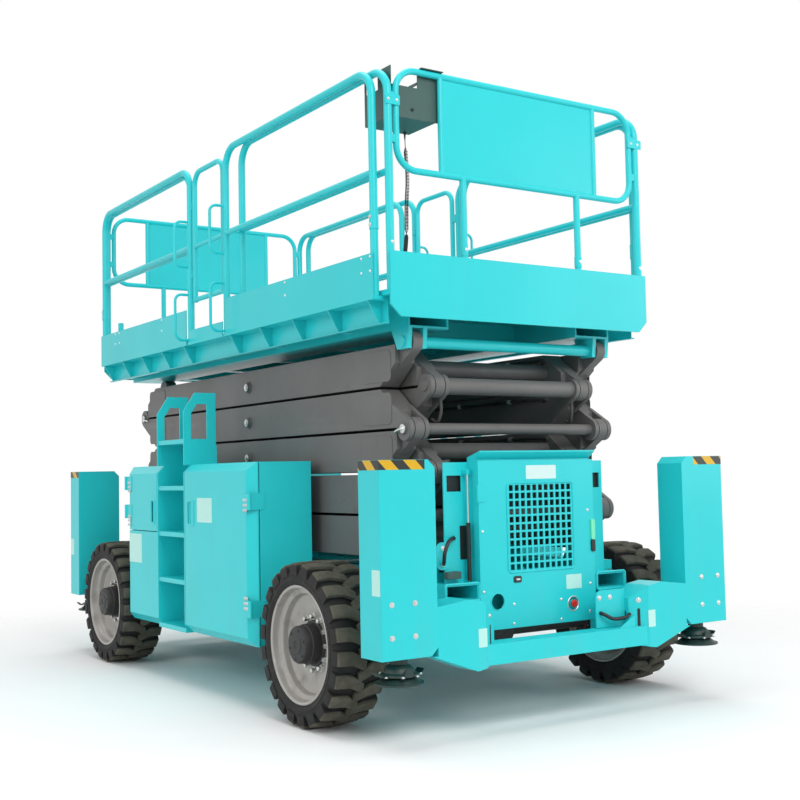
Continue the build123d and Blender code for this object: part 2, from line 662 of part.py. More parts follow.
def arm_side(level, x0, x1, front_up, fork):
    """One arm on the right side: hollow body, end lugs and pins."""
    mid = (seam_z(level - 1) + seam_z(level)) / 2
    top = mid + ARM_H / 2
    low = mid - ARM_H / 2
    reach = BOSS_R + 6
    yf = PIN_YF + reach
    yr = PIN_YR - reach
    nose = ARM_NOSE
    if front_up:
        outline = [(yf, top), (yr - nose, top), (yr, mid - 10), (yr, low), (yf + nose, low), (yf, mid + 10)]
    else:
        outline = [(yf, mid - 10), (yf + nose, top), (yr, top), (yr, mid + 10), (yr - nose, low), (yf, low)]
    body = prism_x(outline, x0, x1)
    w = ARM_WALL
    hollow = [(y + (w if y < CENTRE_Y else -w) * 1.4, z + (w if z < mid else -w)) for y, z in outline]
    body -= prism_x(hollow, x0 + w, x1 - w)
    body -= rod_x(CENTRE_Y + 300, mid, 9, x0 - 1, x0 + w + 1)
    front_z = seam_z(level - 1) if front_up else seam_z(level)
    rear_z = seam_z(level) if front_up else seam_z(level - 1)
    third = (x1 - x0 - 2 * FORK_T) / 2 - GAP
    centre = (x0 + x1) / 2
    slices = [(x0, x0 + FORK_T), (x1 - FORK_T, x1)] if fork else [(centre - third, centre + third)]
    for y, z, way in ((PIN_YF, front_z, 1), (PIN_YR, rear_z, -1)):
        up = 1 if z > mid else -1
        for a, b in slices:
            lug = rod_x(y, z, BOSS_R, a, b)
            edge = z - up * ARM_GAP / 2
            far = z - up * (ARM_H * 0.62)
            lug += prism_x([(y, z), (y + way * (reach + 30), edge), (y + way * (reach + 30), far),
                            (y - way * BOSS_R * 0.55, z - up * BOSS_R * 0.83)], a, b)
            clear = box(a - 1, b + 1, *sorted((y + way * reach, y + way * (reach + 60))),
                        *sorted((edge, z + up * 100)))
            body += lug - clear
    return body


def make_arms(level, inner):
    """Both arms of one level, with their pins and cross tubes."""
    x0, x1 = (INNER_X0, INNER_X1) if inner else (OUTER_X0, OUTER_X1)
    front_up = (level % 2 == 1) != inner
    fork = level % 2 == 0
    arm = arm_side(level, x0, x1, front_up, fork)
    mid = (seam_z(level - 1) + seam_z(level)) / 2
    front_z = seam_z(level - 1) if front_up else seam_z(level)
    rear_z = seam_z(level) if front_up else seam_z(level - 1)
    if inner:
        centre = rod_x(CENTRE_Y, mid, CENTRE_R, x0 - 20, OUTER_X1 + 6)
        cap = rod_x(CENTRE_Y, mid, CAP_R, OUTER_X1 + 6, OUTER_X1 + 6 + CAP_T)
        arm += centre + cap
    else:
        arm -= rod_x(CENTRE_Y, mid, CENTRE_R + RUN, x0 - 1, x1 + 1)
    ends = [(PIN_YF, front_z), (PIN_YR, rear_z)]
    if fork:
        for y, z in ends:
            arm += rod_x(y, z, PIN_R, x0, x1 + 8)
    else:
        for y, z in ends:
            arm -= rod_x(y, z, PIN_R + RUN, x0 - 1, x1 + 1)
    pair = both_sides(arm)
    if fork:
        for y, z in ends:
            pair += rod_x(y, z, TUBE_R if inner else PIN_R, -x0 - 2, x0 + 2)
    if inner and not fork:
        pair += rod_x(CYL_TUBE[0], mid, TUBE_R, -x0 - 2, x0 + 2)
    if level == LEVELS and not inner:
        pair += both_sides(rod_x(PIN_YR, rear_z, ROLLER_R, x0 + 20, x1 - 20))
    if level == 1 and inner:
        pair += both_sides(rod_x(PIN_YR, rear_z, ROLLER_R, x0 + 20, x1 - 20))
    if inner and level in (LEVELS, LEVELS - 2):
        pair += cylinder_base(mid)
    if inner and level in (LEVELS - 1, LEVELS - 3):
        rise = CYL_EYE[1] - (seam_z(LEVELS - 2) + seam_z(LEVELS - 1)) / 2
        stub = rod_x(CYL_EYE[0], mid + rise, 46, EYE_W / 2 + GAP, x0 + 2)
        pair += both_sides(stub)
    return pair


def cylinder_base(mid):
    """Ears under the cross tube that carry the foot of a lift cylinder."""
    drop = CYL_BASE[1] - CYL_TUBE[1]
    by, bz = CYL_BASE[0], mid + drop
    ty, tz = CYL_TUBE[0], mid
    angle = atan2(bz - tz, by - ty)
    nx, nz = -sin(angle), cos(angle)
    r = 40.0
    ear = [(ty + nx * r, tz + nz * r), (ty - nx * r, tz - nz * r), (by - nx * r, bz - nz * r),
           (by + nx * r, bz + nz * r)]
    x0 = EYE_W / 2 + GAP
    one = prism_x(ear, x0, x0 + EAR_T) + rod_x(by, bz, r, x0, x0 + EAR_T)
    pin = rod_x(by, bz, 24, -x0 - EAR_T - 6, x0 + EAR_T + 6)
    return both_sides(one) + pin


def cylinder_pose():
    """Length and slope of a folded lift cylinder."""
    dy = CYL_EYE[0] - CYL_BASE[0]
    dz = CYL_EYE[1] - CYL_BASE[1]
    return hypot(dy, dz), degrees(atan2(dz, dy))


def make_barrel(rise):
    """Cylinder barrel with its foot eye, in place."""
    length, slope = cylinder_pose()
    end = length - BARREL_END
    eye = rod_x(0, 0, EYE_R, -EYE_W / 2, EYE_W / 2) - rod_x(0, 0, 24 + RUN, -60, 60)
    tube = rod_y(0, 0, BARREL_R, 50, end)
    gland = rod_y(0, 0, BARREL_R + 10, end - 70, end + 10)
    hollow = rod_y(0, 0, ROD_R + RUN, 120, end + 20)
    body = tube + gland - hollow + eye
    body -= rod_x(0, 0, 24 + RUN, -60, 60)
    return Pos(0, CYL_BASE[0], CYL_BASE[1] + rise) * Rot(slope, 0, 0) * body


def make_rod(rise):
    """Cylinder rod with its end eye, in place."""
    length, slope = cylinder_pose()
    rod = rod_y(0, 0, ROD_R, 200, length - 30)
    eye = rod_x(length, 0, EYE_R, -EYE_W / 2, EYE_W / 2)
    return Pos(0, CYL_BASE[0], CYL_BASE[1] + rise) * Rot(slope, 0, 0) * (rod + eye)


# Platform

def make_deck():
    """Deck plate, side skirts with gussets, toe boards, beams and the pin brackets below."""
    deck = box(-DECK_X, DECK_X, DECK_YF, DECK_YR, DECK_Z - DECK_T, DECK_Z)
    for s in (-1, 1):
        skirt = box(*sorted((s * SKIRT_X, s * (SKIRT_X - 6))), DECK_YF, DECK_YR, SKIRT_Z, DECK_Z - DECK_T)
        lip = box(*sorted((s * (SKIRT_X - 6), s * (SKIRT_X + 22))), DECK_YF, DECK_YR, SKIRT_Z, SKIRT_Z + 6)
        deck += skirt + lip
        sections = ((DECK_YF, GATE_Y0 - 60, GUSSETS_FRONT), (GATE_Y1 + 60, DECK_YR, GUSSETS_REAR))
        for a, b, count in sections:
            toe = box(*sorted((s * TOE_X, s * (TOE_X - TOE_T))), a, b, DECK_Z - DECK_T, TOE_Z)
            deck += toe
            for k in range(count):
                y = a + 60 + (b - a - 120) * k / (count - 1)
                outline = [(s * SKIRT_X, SKIRT_Z + 6), (s * (SKIRT_X + 20), SKIRT_Z + 6),
                           (s * DECK_X, DECK_Z - DECK_T), (s * SKIRT_X, DECK_Z - DECK_T)]
                deck += prism_y(outline, y - 4, y + 4)
        sill = box(*sorted((s * TOE_X, s * (TOE_X - TOE_T))), GATE_Y0 - POST_OUT + 15, GATE_Y1 + POST_OUT - 15,
                   DECK_Z - DECK_T, DECK_Z + 75)
        deck += sill
        beam = box(*sorted((s * INNER_X0, s * OUTER_X1)), DECK_YF + 40, DECK_YR - 60, DECK_BEAM_Z,
                   DECK_Z - DECK_T)
        inside = box(*sorted((s * (INNER_X0 + 12), s * (OUTER_X1 - 12))), DECK_YF, DECK_YR,
                     DECK_BEAM_Z + 12, DECK_Z - DECK_T)
        deck += beam - inside
        for x0 in (OUTER_X0, OUTER_X1 - FORK_T):
            outline = [(PIN_YF - 60, DECK_BEAM_Z + 2), (PIN_YF + 100, DECK_BEAM_Z + 2),
                       (PIN_YF + 48, TOP_PIN_Z - 38), (PIN_YF - 48, TOP_PIN_Z - 38)]
            deck += prism_x(outline, *sorted((s * x0, s * (x0 + FORK_T))))
    deck += rod_x(PIN_YF, TOP_PIN_Z, PIN_R, -OUTER_X1 - 8, OUTER_X1 + 8)
    for y in (-1200, -400, 400, 1200, 2000):
        deck += box(-SKIRT_X + 6, SKIRT_X - 6, y - 40, y + 40, DECK_BEAM_Z + 30, DECK_Z - DECK_T)
    return deck


def rail_loop(x, y0, y1, z0, r):
    """Posts and top rail in one bent tube, with a mid rail."""
    loop = bent_tube([(x, y0, z0), (x, y0, RAIL_TOP - r), (x, y1, RAIL_TOP - r), (x, y1, z0)], r, RAIL_BEND)
    mid = rod_y(x, RAIL_MID, MID_R, y0, y1)
    return loop + mid


def make_rails():
    """Main guard rails of the left side with the D-shaped grab handles."""
    x = -RAIL_X
    sections = []
    posts = ((GATE_Y0 - POST_OUT, DECK_YF + RAIL_R, GATE_FREE_Y, -1), (GATE_Y1 + POST_OUT, DECK_YR - RAIL_R,
                                                                       GATE_HINGE_Y, 1))
    for y, far_y, leg_y, way in posts:
        section = rail_loop(x, far_y, y, DECK_Z, RAIL_R)
        for z in (2334, 2820):
            out = x - GRAB_OUT
            low = z - GRAB_H / 2
            high = z + GRAB_H / 2
            section += bent_tube([(x, y, low), (out, y, low), (out, y, high), (x, y, high)], GRAB_R, 45)
        edge = leg_y + way * (GATE_R + RUN)
        for z in (2620, 3080):
            section += box(-GATE_X - 13, -GATE_X + 13, *sorted((edge, y)), z - 25, z + 25)
        sections.append(section)
    return Compound(sections)


def make_gate():
    """Left gate: inverted loop with a mid bar and two hinge pins' bands."""
    x = -GATE_X
    y0 = GATE_FREE_Y
    y1 = GATE_HINGE_Y
    r = GATE_R
    loop = bent_tube([(x, y0, GATE_Z), (x, y0, GATE_TOP), (x, y1, GATE_TOP), (x, y1, GATE_Z)], r, GATE_BEND)
    gate = loop + rod_y(x, GATE_Z + r, r - 1, y0, y1) + rod_y(x, RAIL_MID, r - 2, y0, y1)
    return gate


def make_extension(end):
    """Sliding deck with its toe board, inner guard rails and the end frame."""
    z0 = DECK_Z + RUN
    z1 = z0 + EXT_T
    inner_y = 190.0 if end < 0 else GATE_Y1 + 110
    out_y = TOEBOARD_Y if end < 0 else TOEBOARD_Y + 275
    x_in = EXT_X + RAIL_R
    plate = box(-x_in, x_in, inner_y, out_y - 2, z0, z1)
    board = prism_y([(-TOEBOARD_X + 60, TOEBOARD_Z0), (TOEBOARD_X - 60, TOEBOARD_Z0), (TOEBOARD_X, TOEBOARD_Z0 + 60),
                     (TOEBOARD_X, TOEBOARD_Z1), (-TOEBOARD_X, TOEBOARD_Z1), (-TOEBOARD_X, TOEBOARD_Z0 + 60)],
                    out_y - 12, out_y)
    shape = plate + board
    post_y = out_y - 12 - RAIL_R
    for s in (-1, 1):
        shape += rail_loop(s * EXT_X, inner_y + RAIL_R + 10, post_y, z1 - 4, RAIL_R)
    half = bent_tube([(0, post_y, END_Z1), (END_X, post_y, END_Z1), (END_X, post_y, END_Z0), (0, post_y, END_Z0)],
                     END_R, END_BEND)
    shape += both_sides(half)
    shape += box(-END_PANEL, END_PANEL, post_y - 3, post_y + 3, END_Z0, END_Z1)
    for s in (-1, 1):
        shape += rod_z(s * END_LEG, post_y, MID_R, z1 - 4, END_Z0)
        shape += rod_z(s * END_PANEL, post_y, END_R - 2, END_Z0, END_Z1)
        for z in (END_Z0 + 150, END_Z1 - 150):
            shape += box(*sorted((s * END_X, s * EXT_X)), post_y - 12, post_y + 12, z - 20, z + 20)
    return shape if end > 0 else mirror_y(shape) + make_cord_socket()


CONTROL_X0 = -824.0  # bracket of the control box
CONTROL_X1 = -548.0
CONTROL_Z = 3090.0
CONTROL_D = 250.0
CONTROL_H = 165.0    # height of its side plates
CONTROL_Y = -(TOEBOARD_Y - 12 - RAIL_R)
HOOK_X0 = -659.0
HOOK_X1 = -520.0
CORD_D = 24.0        # outer diameter of the curly cord
CORD_POINTS = [(-594, -1645, CONTROL_Z), (-594, -1645, 3035), (-584, -1637, 2965), (-574, -1631, 2895),
               (-570, -1627, 2825), (-574, -1624, 2755), (-580, -1626, 2685), (-584, -1631, 2615),
               (-588, -1634, 2545), (-594, -1632, 2475), (-601, -1628, 2405), (-607, -1628, 2340),
               (-611, -1630, 2290), (-611, -1630, 2245)]


def make_control_box():
    """Control box in its sheet bracket, hooked over the top bar of the end frame."""
    y = CONTROL_Y
    x0, x1 = CONTROL_X0, CONTROL_X1
    in_y = y + END_R + RUN
    near = y + RAIL_R + GAP
    far = in_y + CONTROL_D
    top = END_Z1 + END_R
    hook = box(HOOK_X0, HOOK_X1, y - END_R - 6, in_y + 4, top, top + 4)
    neck = box(HOOK_X0, HOOK_X1, in_y, in_y + 4, CONTROL_Z, top + 4)
    back = box(x0, x1, in_y, in_y + 4, CONTROL_Z, CONTROL_Z + CONTROL_H)
    link = box(x0, x1, in_y, near + 4, CONTROL_Z, CONTROL_Z + 4)
    tray = box(x0, x1, near, far, CONTROL_Z, CONTROL_Z + 4)
    left = box(x0, x0 + 4, near, far, CONTROL_Z, CONTROL_Z + CONTROL_H)
    right = box(x1 - 4, x1, in_y, far, CONTROL_Z, CONTROL_Z + CONTROL_H)
    case = box(x0 + 55, x1 - 45, near + 40, far - 55, CONTROL_Z + 4, CONTROL_Z + 145)
    return neck + hook + back + link + tray + left + right + case


def cord_radii(points):
    """Largest arc at each inner corner: 0.45 of the shorter run over the tangent of half the turn."""
    radii = []
    for a, b, c in zip(points, points[1:], points[2:]):
        first = Vector(*b) - Vector(*a)
        second = Vector(*c) - Vector(*b)
        turn = radians(first.get_angle(second))
        radii.append(0.45 * min(first.length, second.length) / tan(turn / 2))
    return radii


def make_control_cord():
    """Curly cord of the control box, as one tube of its outer diameter."""
    radii = cord_radii(CORD_POINTS)
    print("cord radii", [round(r) for r in radii])
    path = FilletPolyline(*CORD_POINTS, radius=radii)
    tube = sweep(Plane(origin=path @ 0, z_dir=path % 0) * Circle(CORD_D / 2), path=path)
    share = tube.volume / (path.length * pi * CORD_D ** 2 / 4)
    print("cord length", round(path.length), "volume share", round(share, 4))
    return tube


def make_cord_socket():
    """Socket on the sliding deck where the control cord ends."""
    x, y, z = CORD_POINTS[-1]
    deck_top = DECK_Z + RUN + EXT_T
    return box(x - 32, x + 32, y - 22, y + 22, deck_top, z)


def main():
    os.makedirs("parts", exist_ok=True)
    tyre = make_tyre()
    wheel = make_wheel()
    for side, side_name in ((-1, "left"), (1, "right")):
        for end, end_name in ((-1, "front"), (1, "rear")):
            corner = end_name + "_" + side_name
            save(corner + "_tyre", place_wheel(tyre, side, end))
            save(corner + "_wheel", place_wheel(wheel, side, end))
            save(corner + "_jack_leg", make_leg(side, end))
    save("front_axle", make_axle(True))
    save("rear_axle", make_axle(False))
    knuckle = make_knuckle()
    save("left_knuckle", knuckle)
    save("right_knuckle", mirror_x(knuckle))
    save("tie_rod", make_tie_rod())
    save("chassis_frame", make_chassis())
    save("front_outrigger_frame", make_outrigger_frame(-1))
    save("rear_outrigger_frame", make_outrigger_frame(1))
    pod = make_pod()
    save("right_pod", pod)
    save("left_pod", mirror_x(pod))
    door = make_pod_door(POD_Y0, LADDER_Y0 - 2 * GAP, POD_Z0, POD_Y0, -1, (POD_Z1 - 220, POD_Z0 + 210), LADDER_Y0 - 70)
    hatch = make_pod_door(LADDER_Y1 + 2 * GAP, POD_Y1, HATCH_Z + GAP, POD_Y1, 1, (POD_Z1 - 110, POD_Z1 - 300),
                          LADDER_Y1 + 90)
    save("right_front_door", door)
    save("left_front_door", mirror_x(door))
    save("right_rear_door", hatch)
    save("left_rear_door", mirror_x(hatch))
    save("front_cover", make_cover(-1))
    save("rear_cover", make_cover(1))
    save("front_cover_door", make_cover_door())
    save("engine_block", box(POD_X0 + 40, POD_X1 - 90, POD_Y0 + 120, LADDER_Y0 - 150, POD_Z0 + SHEET, 980))
    for level in range(1, LEVELS + 1):
        save("outer_arms_%d" % level, make_arms(level, False))
        save("inner_arms_%d" % level, make_arms(level, True))
    for name, rise in (("lower", 0.0), ("upper", 2 * SEAM)):
        save(name + "_cylinder_barrel", make_barrel(rise))
        save(name + "_cylinder_rod", make_rod(rise))
    save("platform_deck", make_deck())
    rails = make_rails()
    save("left_guard_rails", rails)
    save("right_guard_rails", mirror_x(rails))
    gate = make_gate()
    save("left_gate", gate)
    save("right_gate", mirror_x(gate))
    save("front_extension", make_extension(-1))
    save("rear_extension", make_extension(1))
    save("control_box", make_control_box())
    save("control_cord", make_control_cord())


main()
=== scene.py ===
"""Rough-terrain scissor lift: finishes, fine pieces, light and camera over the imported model.

All sizes are metres in the model's own frame: +X to the right seen from the front, -Y to the
front, +Z up, origin on the ground under the middle of the machine.
"""

import json
import logging
import math
from collections.abc import Callable
from dataclasses import dataclass
from enum import Enum

import bpy
import numpy as np
from mathutils import Matrix


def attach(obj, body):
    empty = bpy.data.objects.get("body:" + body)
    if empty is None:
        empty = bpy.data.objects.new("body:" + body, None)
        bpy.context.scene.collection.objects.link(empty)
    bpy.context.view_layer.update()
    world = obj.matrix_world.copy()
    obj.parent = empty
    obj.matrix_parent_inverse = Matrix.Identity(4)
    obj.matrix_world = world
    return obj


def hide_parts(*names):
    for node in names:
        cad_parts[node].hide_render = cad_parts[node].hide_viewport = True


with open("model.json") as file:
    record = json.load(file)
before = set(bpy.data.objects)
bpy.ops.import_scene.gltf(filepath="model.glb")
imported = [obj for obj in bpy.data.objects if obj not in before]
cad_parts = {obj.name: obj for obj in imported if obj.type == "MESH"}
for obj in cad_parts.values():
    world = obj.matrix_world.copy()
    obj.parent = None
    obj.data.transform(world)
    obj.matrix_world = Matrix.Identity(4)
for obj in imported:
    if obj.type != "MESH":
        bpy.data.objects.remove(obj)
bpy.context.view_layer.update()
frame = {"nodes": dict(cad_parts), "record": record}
LOG = logging.getLogger("scissor_lift")

Vec = tuple[float, float, float]
Pair = tuple[float, float]


# Shader maths


def operator(operation: str, swapped: bool = False) -> Callable:
    """An operator that adds one Math node of that operation; swapped puts the other value first."""

    def run(self: "Socket", other: "Socket | float") -> "Socket":
        """Apply it to a socket and another value."""
        return self.math(operation, *((other, self) if swapped else (self, other)))

    return run


class Socket:
    """A shader output that takes part in sums: an expression on it adds Math nodes."""

    def __init__(self, graph: "Graph", out: bpy.types.NodeSocket) -> None:
        """Keep the output and the graph it belongs to."""
        self.graph = graph
        self.out = out

    def math(self, operation: str, *values: "Socket | float") -> "Socket":
        """One Math node.

        Args:
            operation: Blender's name of the operation.
            values: numbers or sockets, in the node's order.

        Returns:
            The node's output.
        """
        return self.graph.node("ShaderNodeMath", {"operation": operation}, dict(enumerate(values)))

    __add__ = __radd__ = operator("ADD")
    __sub__ = operator("SUBTRACT")
    __rsub__ = operator("SUBTRACT", swapped=True)
    __mul__ = __rmul__ = operator("MULTIPLY")
    __truediv__ = operator("DIVIDE")
    __gt__ = operator("GREATER_THAN")

    def root(self) -> "Socket":
        """Square root."""
        return self.math("SQRT", self)

    def wrap(self, period: float) -> "Socket":
        """Remainder within 0 and the period."""
        return self.math("FLOORED_MODULO", self, period)

    def step(self, low: float, high: float) -> "Socket":
        """A smooth step.

        Args:
            low: value where it is 0.
            high: value where it is 1.

        Returns:
            0 to 1.
        """
        settings = {"interpolation_type": "SMOOTHSTEP"}
        return self.graph.node("ShaderNodeMapRange", settings, {0: self, 1: low, 2: high, 3: 0.0, 4: 1.0})


class Graph:
    """The node graph of one material, ending in a Principled shader."""

    def __init__(self, name: str) -> None:
        """Start a material of that name."""
        self.material = bpy.data.materials.new(name)
        self.material.use_nodes = True
        self.tree = self.material.node_tree
        self.tree.nodes.clear()
        self.output = self.tree.nodes.new("ShaderNodeOutputMaterial")
        self.shader = self.tree.nodes.new("ShaderNodeBsdfPrincipled")
        self.tree.links.new(self.shader.outputs[0], self.output.inputs[0])
        self.place = self.node("ShaderNodeTexCoord", {}, {}, "Object")

    def node(self, kind: str, settings: dict, inputs: dict, out: "int | str" = 0) -> Socket:
        """Any node.

        Args:
            kind: Blender's node type.
            settings: attributes set first; "stops" holds a ramp's (place, colour) pairs.
            inputs: values or sockets by input name or number.
            out: which output is wanted.

        Returns:
            That output.
        """
        made = self.tree.nodes.new(kind)
        for key, value in settings.items():
            if key == "stops":
                for spot, (place, colour) in zip(self._spots(made, len(value)), value):
                    spot.position = place
                    spot.color = (*colour, 1.0)
            else:
                setattr(made, key, value)
        for key, value in inputs.items():
            self.feed(made.inputs[key], value)
        return Socket(self, made.outputs[out])

    @staticmethod
    def _spots(made: bpy.types.Node, count: int) -> list:
        """The ramp's stops, as many as wanted."""
        elements = made.color_ramp.elements
        while len(elements) < count:
            elements.new(1.0)
        return list(elements)

    def feed(self, target: bpy.types.NodeSocket, value: "Socket | float | tuple") -> None:
        """Link a socket or set a number or colour."""
        if isinstance(value, Socket):
            self.tree.links.new(value.out, target)
        elif isinstance(value, tuple) and len(value) == 3 and target.type == "RGBA":
            target.default_value = (*value, 1.0)
        else:
            target.default_value = value

    def axes(self) -> tuple[Socket, Socket, Socket]:
        """The three object coordinates."""
        parts = [self.node("ShaderNodeSeparateXYZ", {}, {0: self.place}, k) for k in range(3)]
        return parts[0], parts[1], parts[2]

    def noise(self, scale: float, detail: float = 3.0, rough: float = 0.55,
              place: "Socket | None" = None) -> Socket:
        """Cloudy noise from 0 to 1.

        Args:
            scale: repeats in a metre.
            detail: octaves.
            rough: weight of the finer octaves.
            place: coordinates, else the object's.

        Returns:
            The noise value.
        """
        inputs = {"Vector": place or self.place, "Scale": scale, "Detail": detail, "Roughness": rough}
        return self.node("ShaderNodeTexNoise", {}, inputs, 0)

    def stretch(self, scale: Vec) -> Socket:
        """Object coordinates scaled along each axis."""
        return self.node("ShaderNodeMapping", {}, {"Vector": self.place, "Scale": scale})

    def mix(self, share: "Socket | float", first: "Socket | Vec", second: "Socket | Vec") -> Socket:
        """Blend of two colours by a share from 0 to 1."""
        return self.node("ShaderNodeMix", {"data_type": "RGBA"}, {0: share, 6: first, 7: second}, 2)

    def bump(self, height: Socket, depth: float, strength: float = 0.4,
             base: "Socket | None" = None) -> Socket:
        """Normal from a height.

        Args:
            height: the height, 0 to 1.
            depth: metres from 0 to 1.
            strength: share of the effect.
            base: normal it starts from.

        Returns:
            The normal.
        """
        inputs: dict = {"Height": height, "Distance": depth, "Strength": strength}
        if base is not None:
            inputs["Normal"] = base
        return self.node("ShaderNodeBump", {}, inputs)

    def soft_edge(self, radius: float) -> Socket:
        """Normal that rounds the edges by a radius."""
        return self.node("ShaderNodeBevel", {"samples": 4}, {"Radius": radius})

    def finish(self, **inputs: "Socket | float | Vec") -> bpy.types.Material:
        """Set the shader's sockets, named with _ for a space, and give the material."""
        for key, value in inputs.items():
            self.feed(self.shader.inputs[key.replace("_", " ")], value)
        return self.material


# Finishes


@dataclass(frozen=True)
class SheetPaint:
    """Gloss paint on sheet and tube: cloudy tone, fine peel, dust low down and in streaks."""

    name: str
    colour: Vec
    rough: float = 0.34
    coat: float = 0.10
    dust: float = 0.12
    dust_colour: Vec = (0.30, 0.27, 0.22)
    scuff: float = 0.4
    edge: float = 0.003

    def make(self) -> bpy.types.Material:
        """Build the material."""
        g = Graph(self.name)
        _, _, z = g.axes()
        cloud = g.noise(1.7, 4.0)
        tone = g.mix(cloud.step(0.3, 0.75) * 0.5, self.colour, tuple(0.90 * c for c in self.colour))
        streak = g.noise(9.0, 5.0, 0.6, g.stretch((1.0, 1.0, 0.12)))
        low = 1.0 - z.step(0.25, 1.15)
        dust = (low * 0.6 + 0.16) * streak.step(0.46, 0.78) * self.dust
        tone = g.mix(dust, tone, self.dust_colour)
        speck = g.noise(60.0, 2.0).step(0.70, 0.78) * g.noise(3.0, 2.0).step(0.52, 0.7)
        tone = g.mix(speck * self.scuff * 0.5, tone, tuple(0.55 * c for c in self.colour))
        rough = cloud * 0.10 + dust * 0.5 + speck * 0.2 + (self.rough - 0.05)
        peel = g.noise(190.0, 2.0)
        normal = g.bump(peel, 0.0004, 0.25, g.soft_edge(self.edge))
        return g.finish(Base_Color=tone, Roughness=rough, Normal=normal, Coat_Weight=self.coat,
                        Coat_Roughness=0.12, Specular_IOR_Level=0.32)


@dataclass(frozen=True)
class ArmPaint:
    """Semi-matt paint on the scissor's steel: rubbed streaks along the arms and darker grime in random
    patches.
    """

    name: str
    colour: Vec
    rough: float = 0.42
    metallic: float = 0.0

    def make(self) -> bpy.types.Material:
        """Build the material."""
        g = Graph(self.name)
        rub = g.noise(5.0, 5.0, 0.6, g.stretch((1.0, 0.18, 1.4)))
        cloud = g.noise(2.2, 4.0)
        tone = g.mix(cloud.step(0.3, 0.75) * 0.6, self.colour, tuple(0.80 * c for c in self.colour))
        tone = g.mix(rub.step(0.55, 0.80) * 0.35, tone, tuple(min(1.0, 1.45 * c) for c in self.colour))
        grime = g.noise(14.0, 6.0, 0.65).step(0.56, 0.80)
        tone = g.mix(grime * 0.35, tone, (0.055, 0.05, 0.045))
        rough = self.rough + 0.18 * cloud - rub.step(0.55, 0.80) * 0.10
        normal = g.bump(g.noise(150.0, 3.0), 0.0005, 0.3, g.soft_edge(0.004))
        return g.finish(Base_Color=tone, Roughness=rough, Normal=normal, Metallic=self.metallic)


@dataclass(frozen=True)
class Rubber:
    """Black rubber; on a tyre the treads' tops carry olive-grey dust by their distance from the axle."""

    name: str
    axle: "Pair | None" = None
    top: float = 0.405
    colour: Vec = (0.012, 0.012, 0.012)
    dust: Vec = (0.105, 0.100, 0.075)

    def make(self) -> bpy.types.Material:
        """Build the material."""
        g = Graph(self.name)
        cloud = g.noise(7.0, 5.0).step(0.40, 0.75) * 0.7
        tone = g.mix(cloud, self.colour, (0.022, 0.022, 0.020))
        rough = 0.62 + 0.2 * g.noise(30.0, 4.0)
        if self.axle is not None:
            _, y, z = g.axes()
            dy, dz = y - self.axle[0], z - self.axle[1]
            radius = (dy * dy + dz * dz).root()
            worn = radius.step(self.top - 0.006, self.top + 0.002)
            patch = 0.55 + 0.45 * g.noise(16.0, 5.0).step(0.3, 0.7)
            tone = g.mix(worn * patch, tone, self.dust)
            side = (1.0 - radius.step(0.33, 0.40)) * g.noise(22.0, 5.0).step(0.52, 0.75)
            tone = g.mix(side * 0.4, tone, (0.05, 0.048, 0.042))
            rough = rough + worn * 0.12
        normal = g.bump(g.noise(120.0, 4.0), 0.0008, 0.45)
        return g.finish(Base_Color=tone, Roughness=rough, Normal=normal, Specular_IOR_Level=0.35)


@dataclass(frozen=True)
class Metal:
    """Bare, plated or silver-painted metal with fine scratches and a little dull dirt."""

    name: str
    colour: Vec
    rough: float = 0.3
    metallic: float = 1.0
    dirt: float = 0.4
    dirt_colour: Vec = (0.10, 0.085, 0.065)
    grain: Vec = (1.0, 1.0, 1.0)
    edge: float = 0.0015

    def make(self) -> bpy.types.Material:
        """Build the material."""
        g = Graph(self.name)
        cloud = g.noise(11.0, 5.0, 0.6)
        dull = cloud.step(0.48, 0.80) * self.dirt
        tone = g.mix(dull, self.colour, self.dirt_colour)
        line = g.noise(90.0, 3.0, 0.6, g.stretch(self.grain))
        rough = self.rough + line * 0.10 + dull * 0.4
        metal = self.metallic - dull * self.metallic
        normal = g.bump(line, 0.0003, 0.25, g.soft_edge(self.edge))
        return g.finish(Base_Color=tone, Roughness=rough, Metallic=metal, Normal=normal)


@dataclass(frozen=True)
class Plastic:
    """Moulded plastic or a blank enamel plate with a fine grain and faint soiling."""

    name: str
    colour: Vec
    rough: float = 0.4
    soil: float = 0.3

    def make(self) -> bpy.types.Material:
        """Build the material."""
        g = Graph(self.name)
        soil = g.noise(25.0, 4.0).step(0.52, 0.80) * self.soil
        tone = g.mix(soil, self.colour, tuple(0.45 * c for c in self.colour))
        normal = g.bump(g.noise(400.0, 2.0), 0.0002, 0.3, g.soft_edge(0.001))
        return g.finish(Base_Color=tone, Roughness=self.rough + 0.3 * soil, Normal=normal)


@dataclass(frozen=True)
class Hazard:
    """Slanting yellow and black stripes across a band, worn at places."""

    name: str
    pitch: float = 0.140
    slope: float = 1.0

    def make(self) -> bpy.types.Material:
        """Build the material: the phase is the run round the outer corner plus the slanted height."""
        g = Graph(self.name)
        x, y, z = g.axes()
        run = x + y * x.math("SIGN", x) + z * self.slope
        black = run.wrap(self.pitch) > self.pitch / 2
        worn = g.noise(26.0, 5.0).step(0.60, 0.78)
        yellow = g.mix(worn * 0.4, (0.72, 0.43, 0.004), (0.42, 0.30, 0.05))
        tone = g.mix(black, yellow, g.mix(worn * 0.5, (0.012, 0.020, 0.018), (0.07, 0.08, 0.07)))
        normal = g.bump(g.noise(200.0), 0.0002, 0.2)
        return g.finish(Base_Color=tone, Roughness=0.34 + 0.25 * worn, Normal=normal)


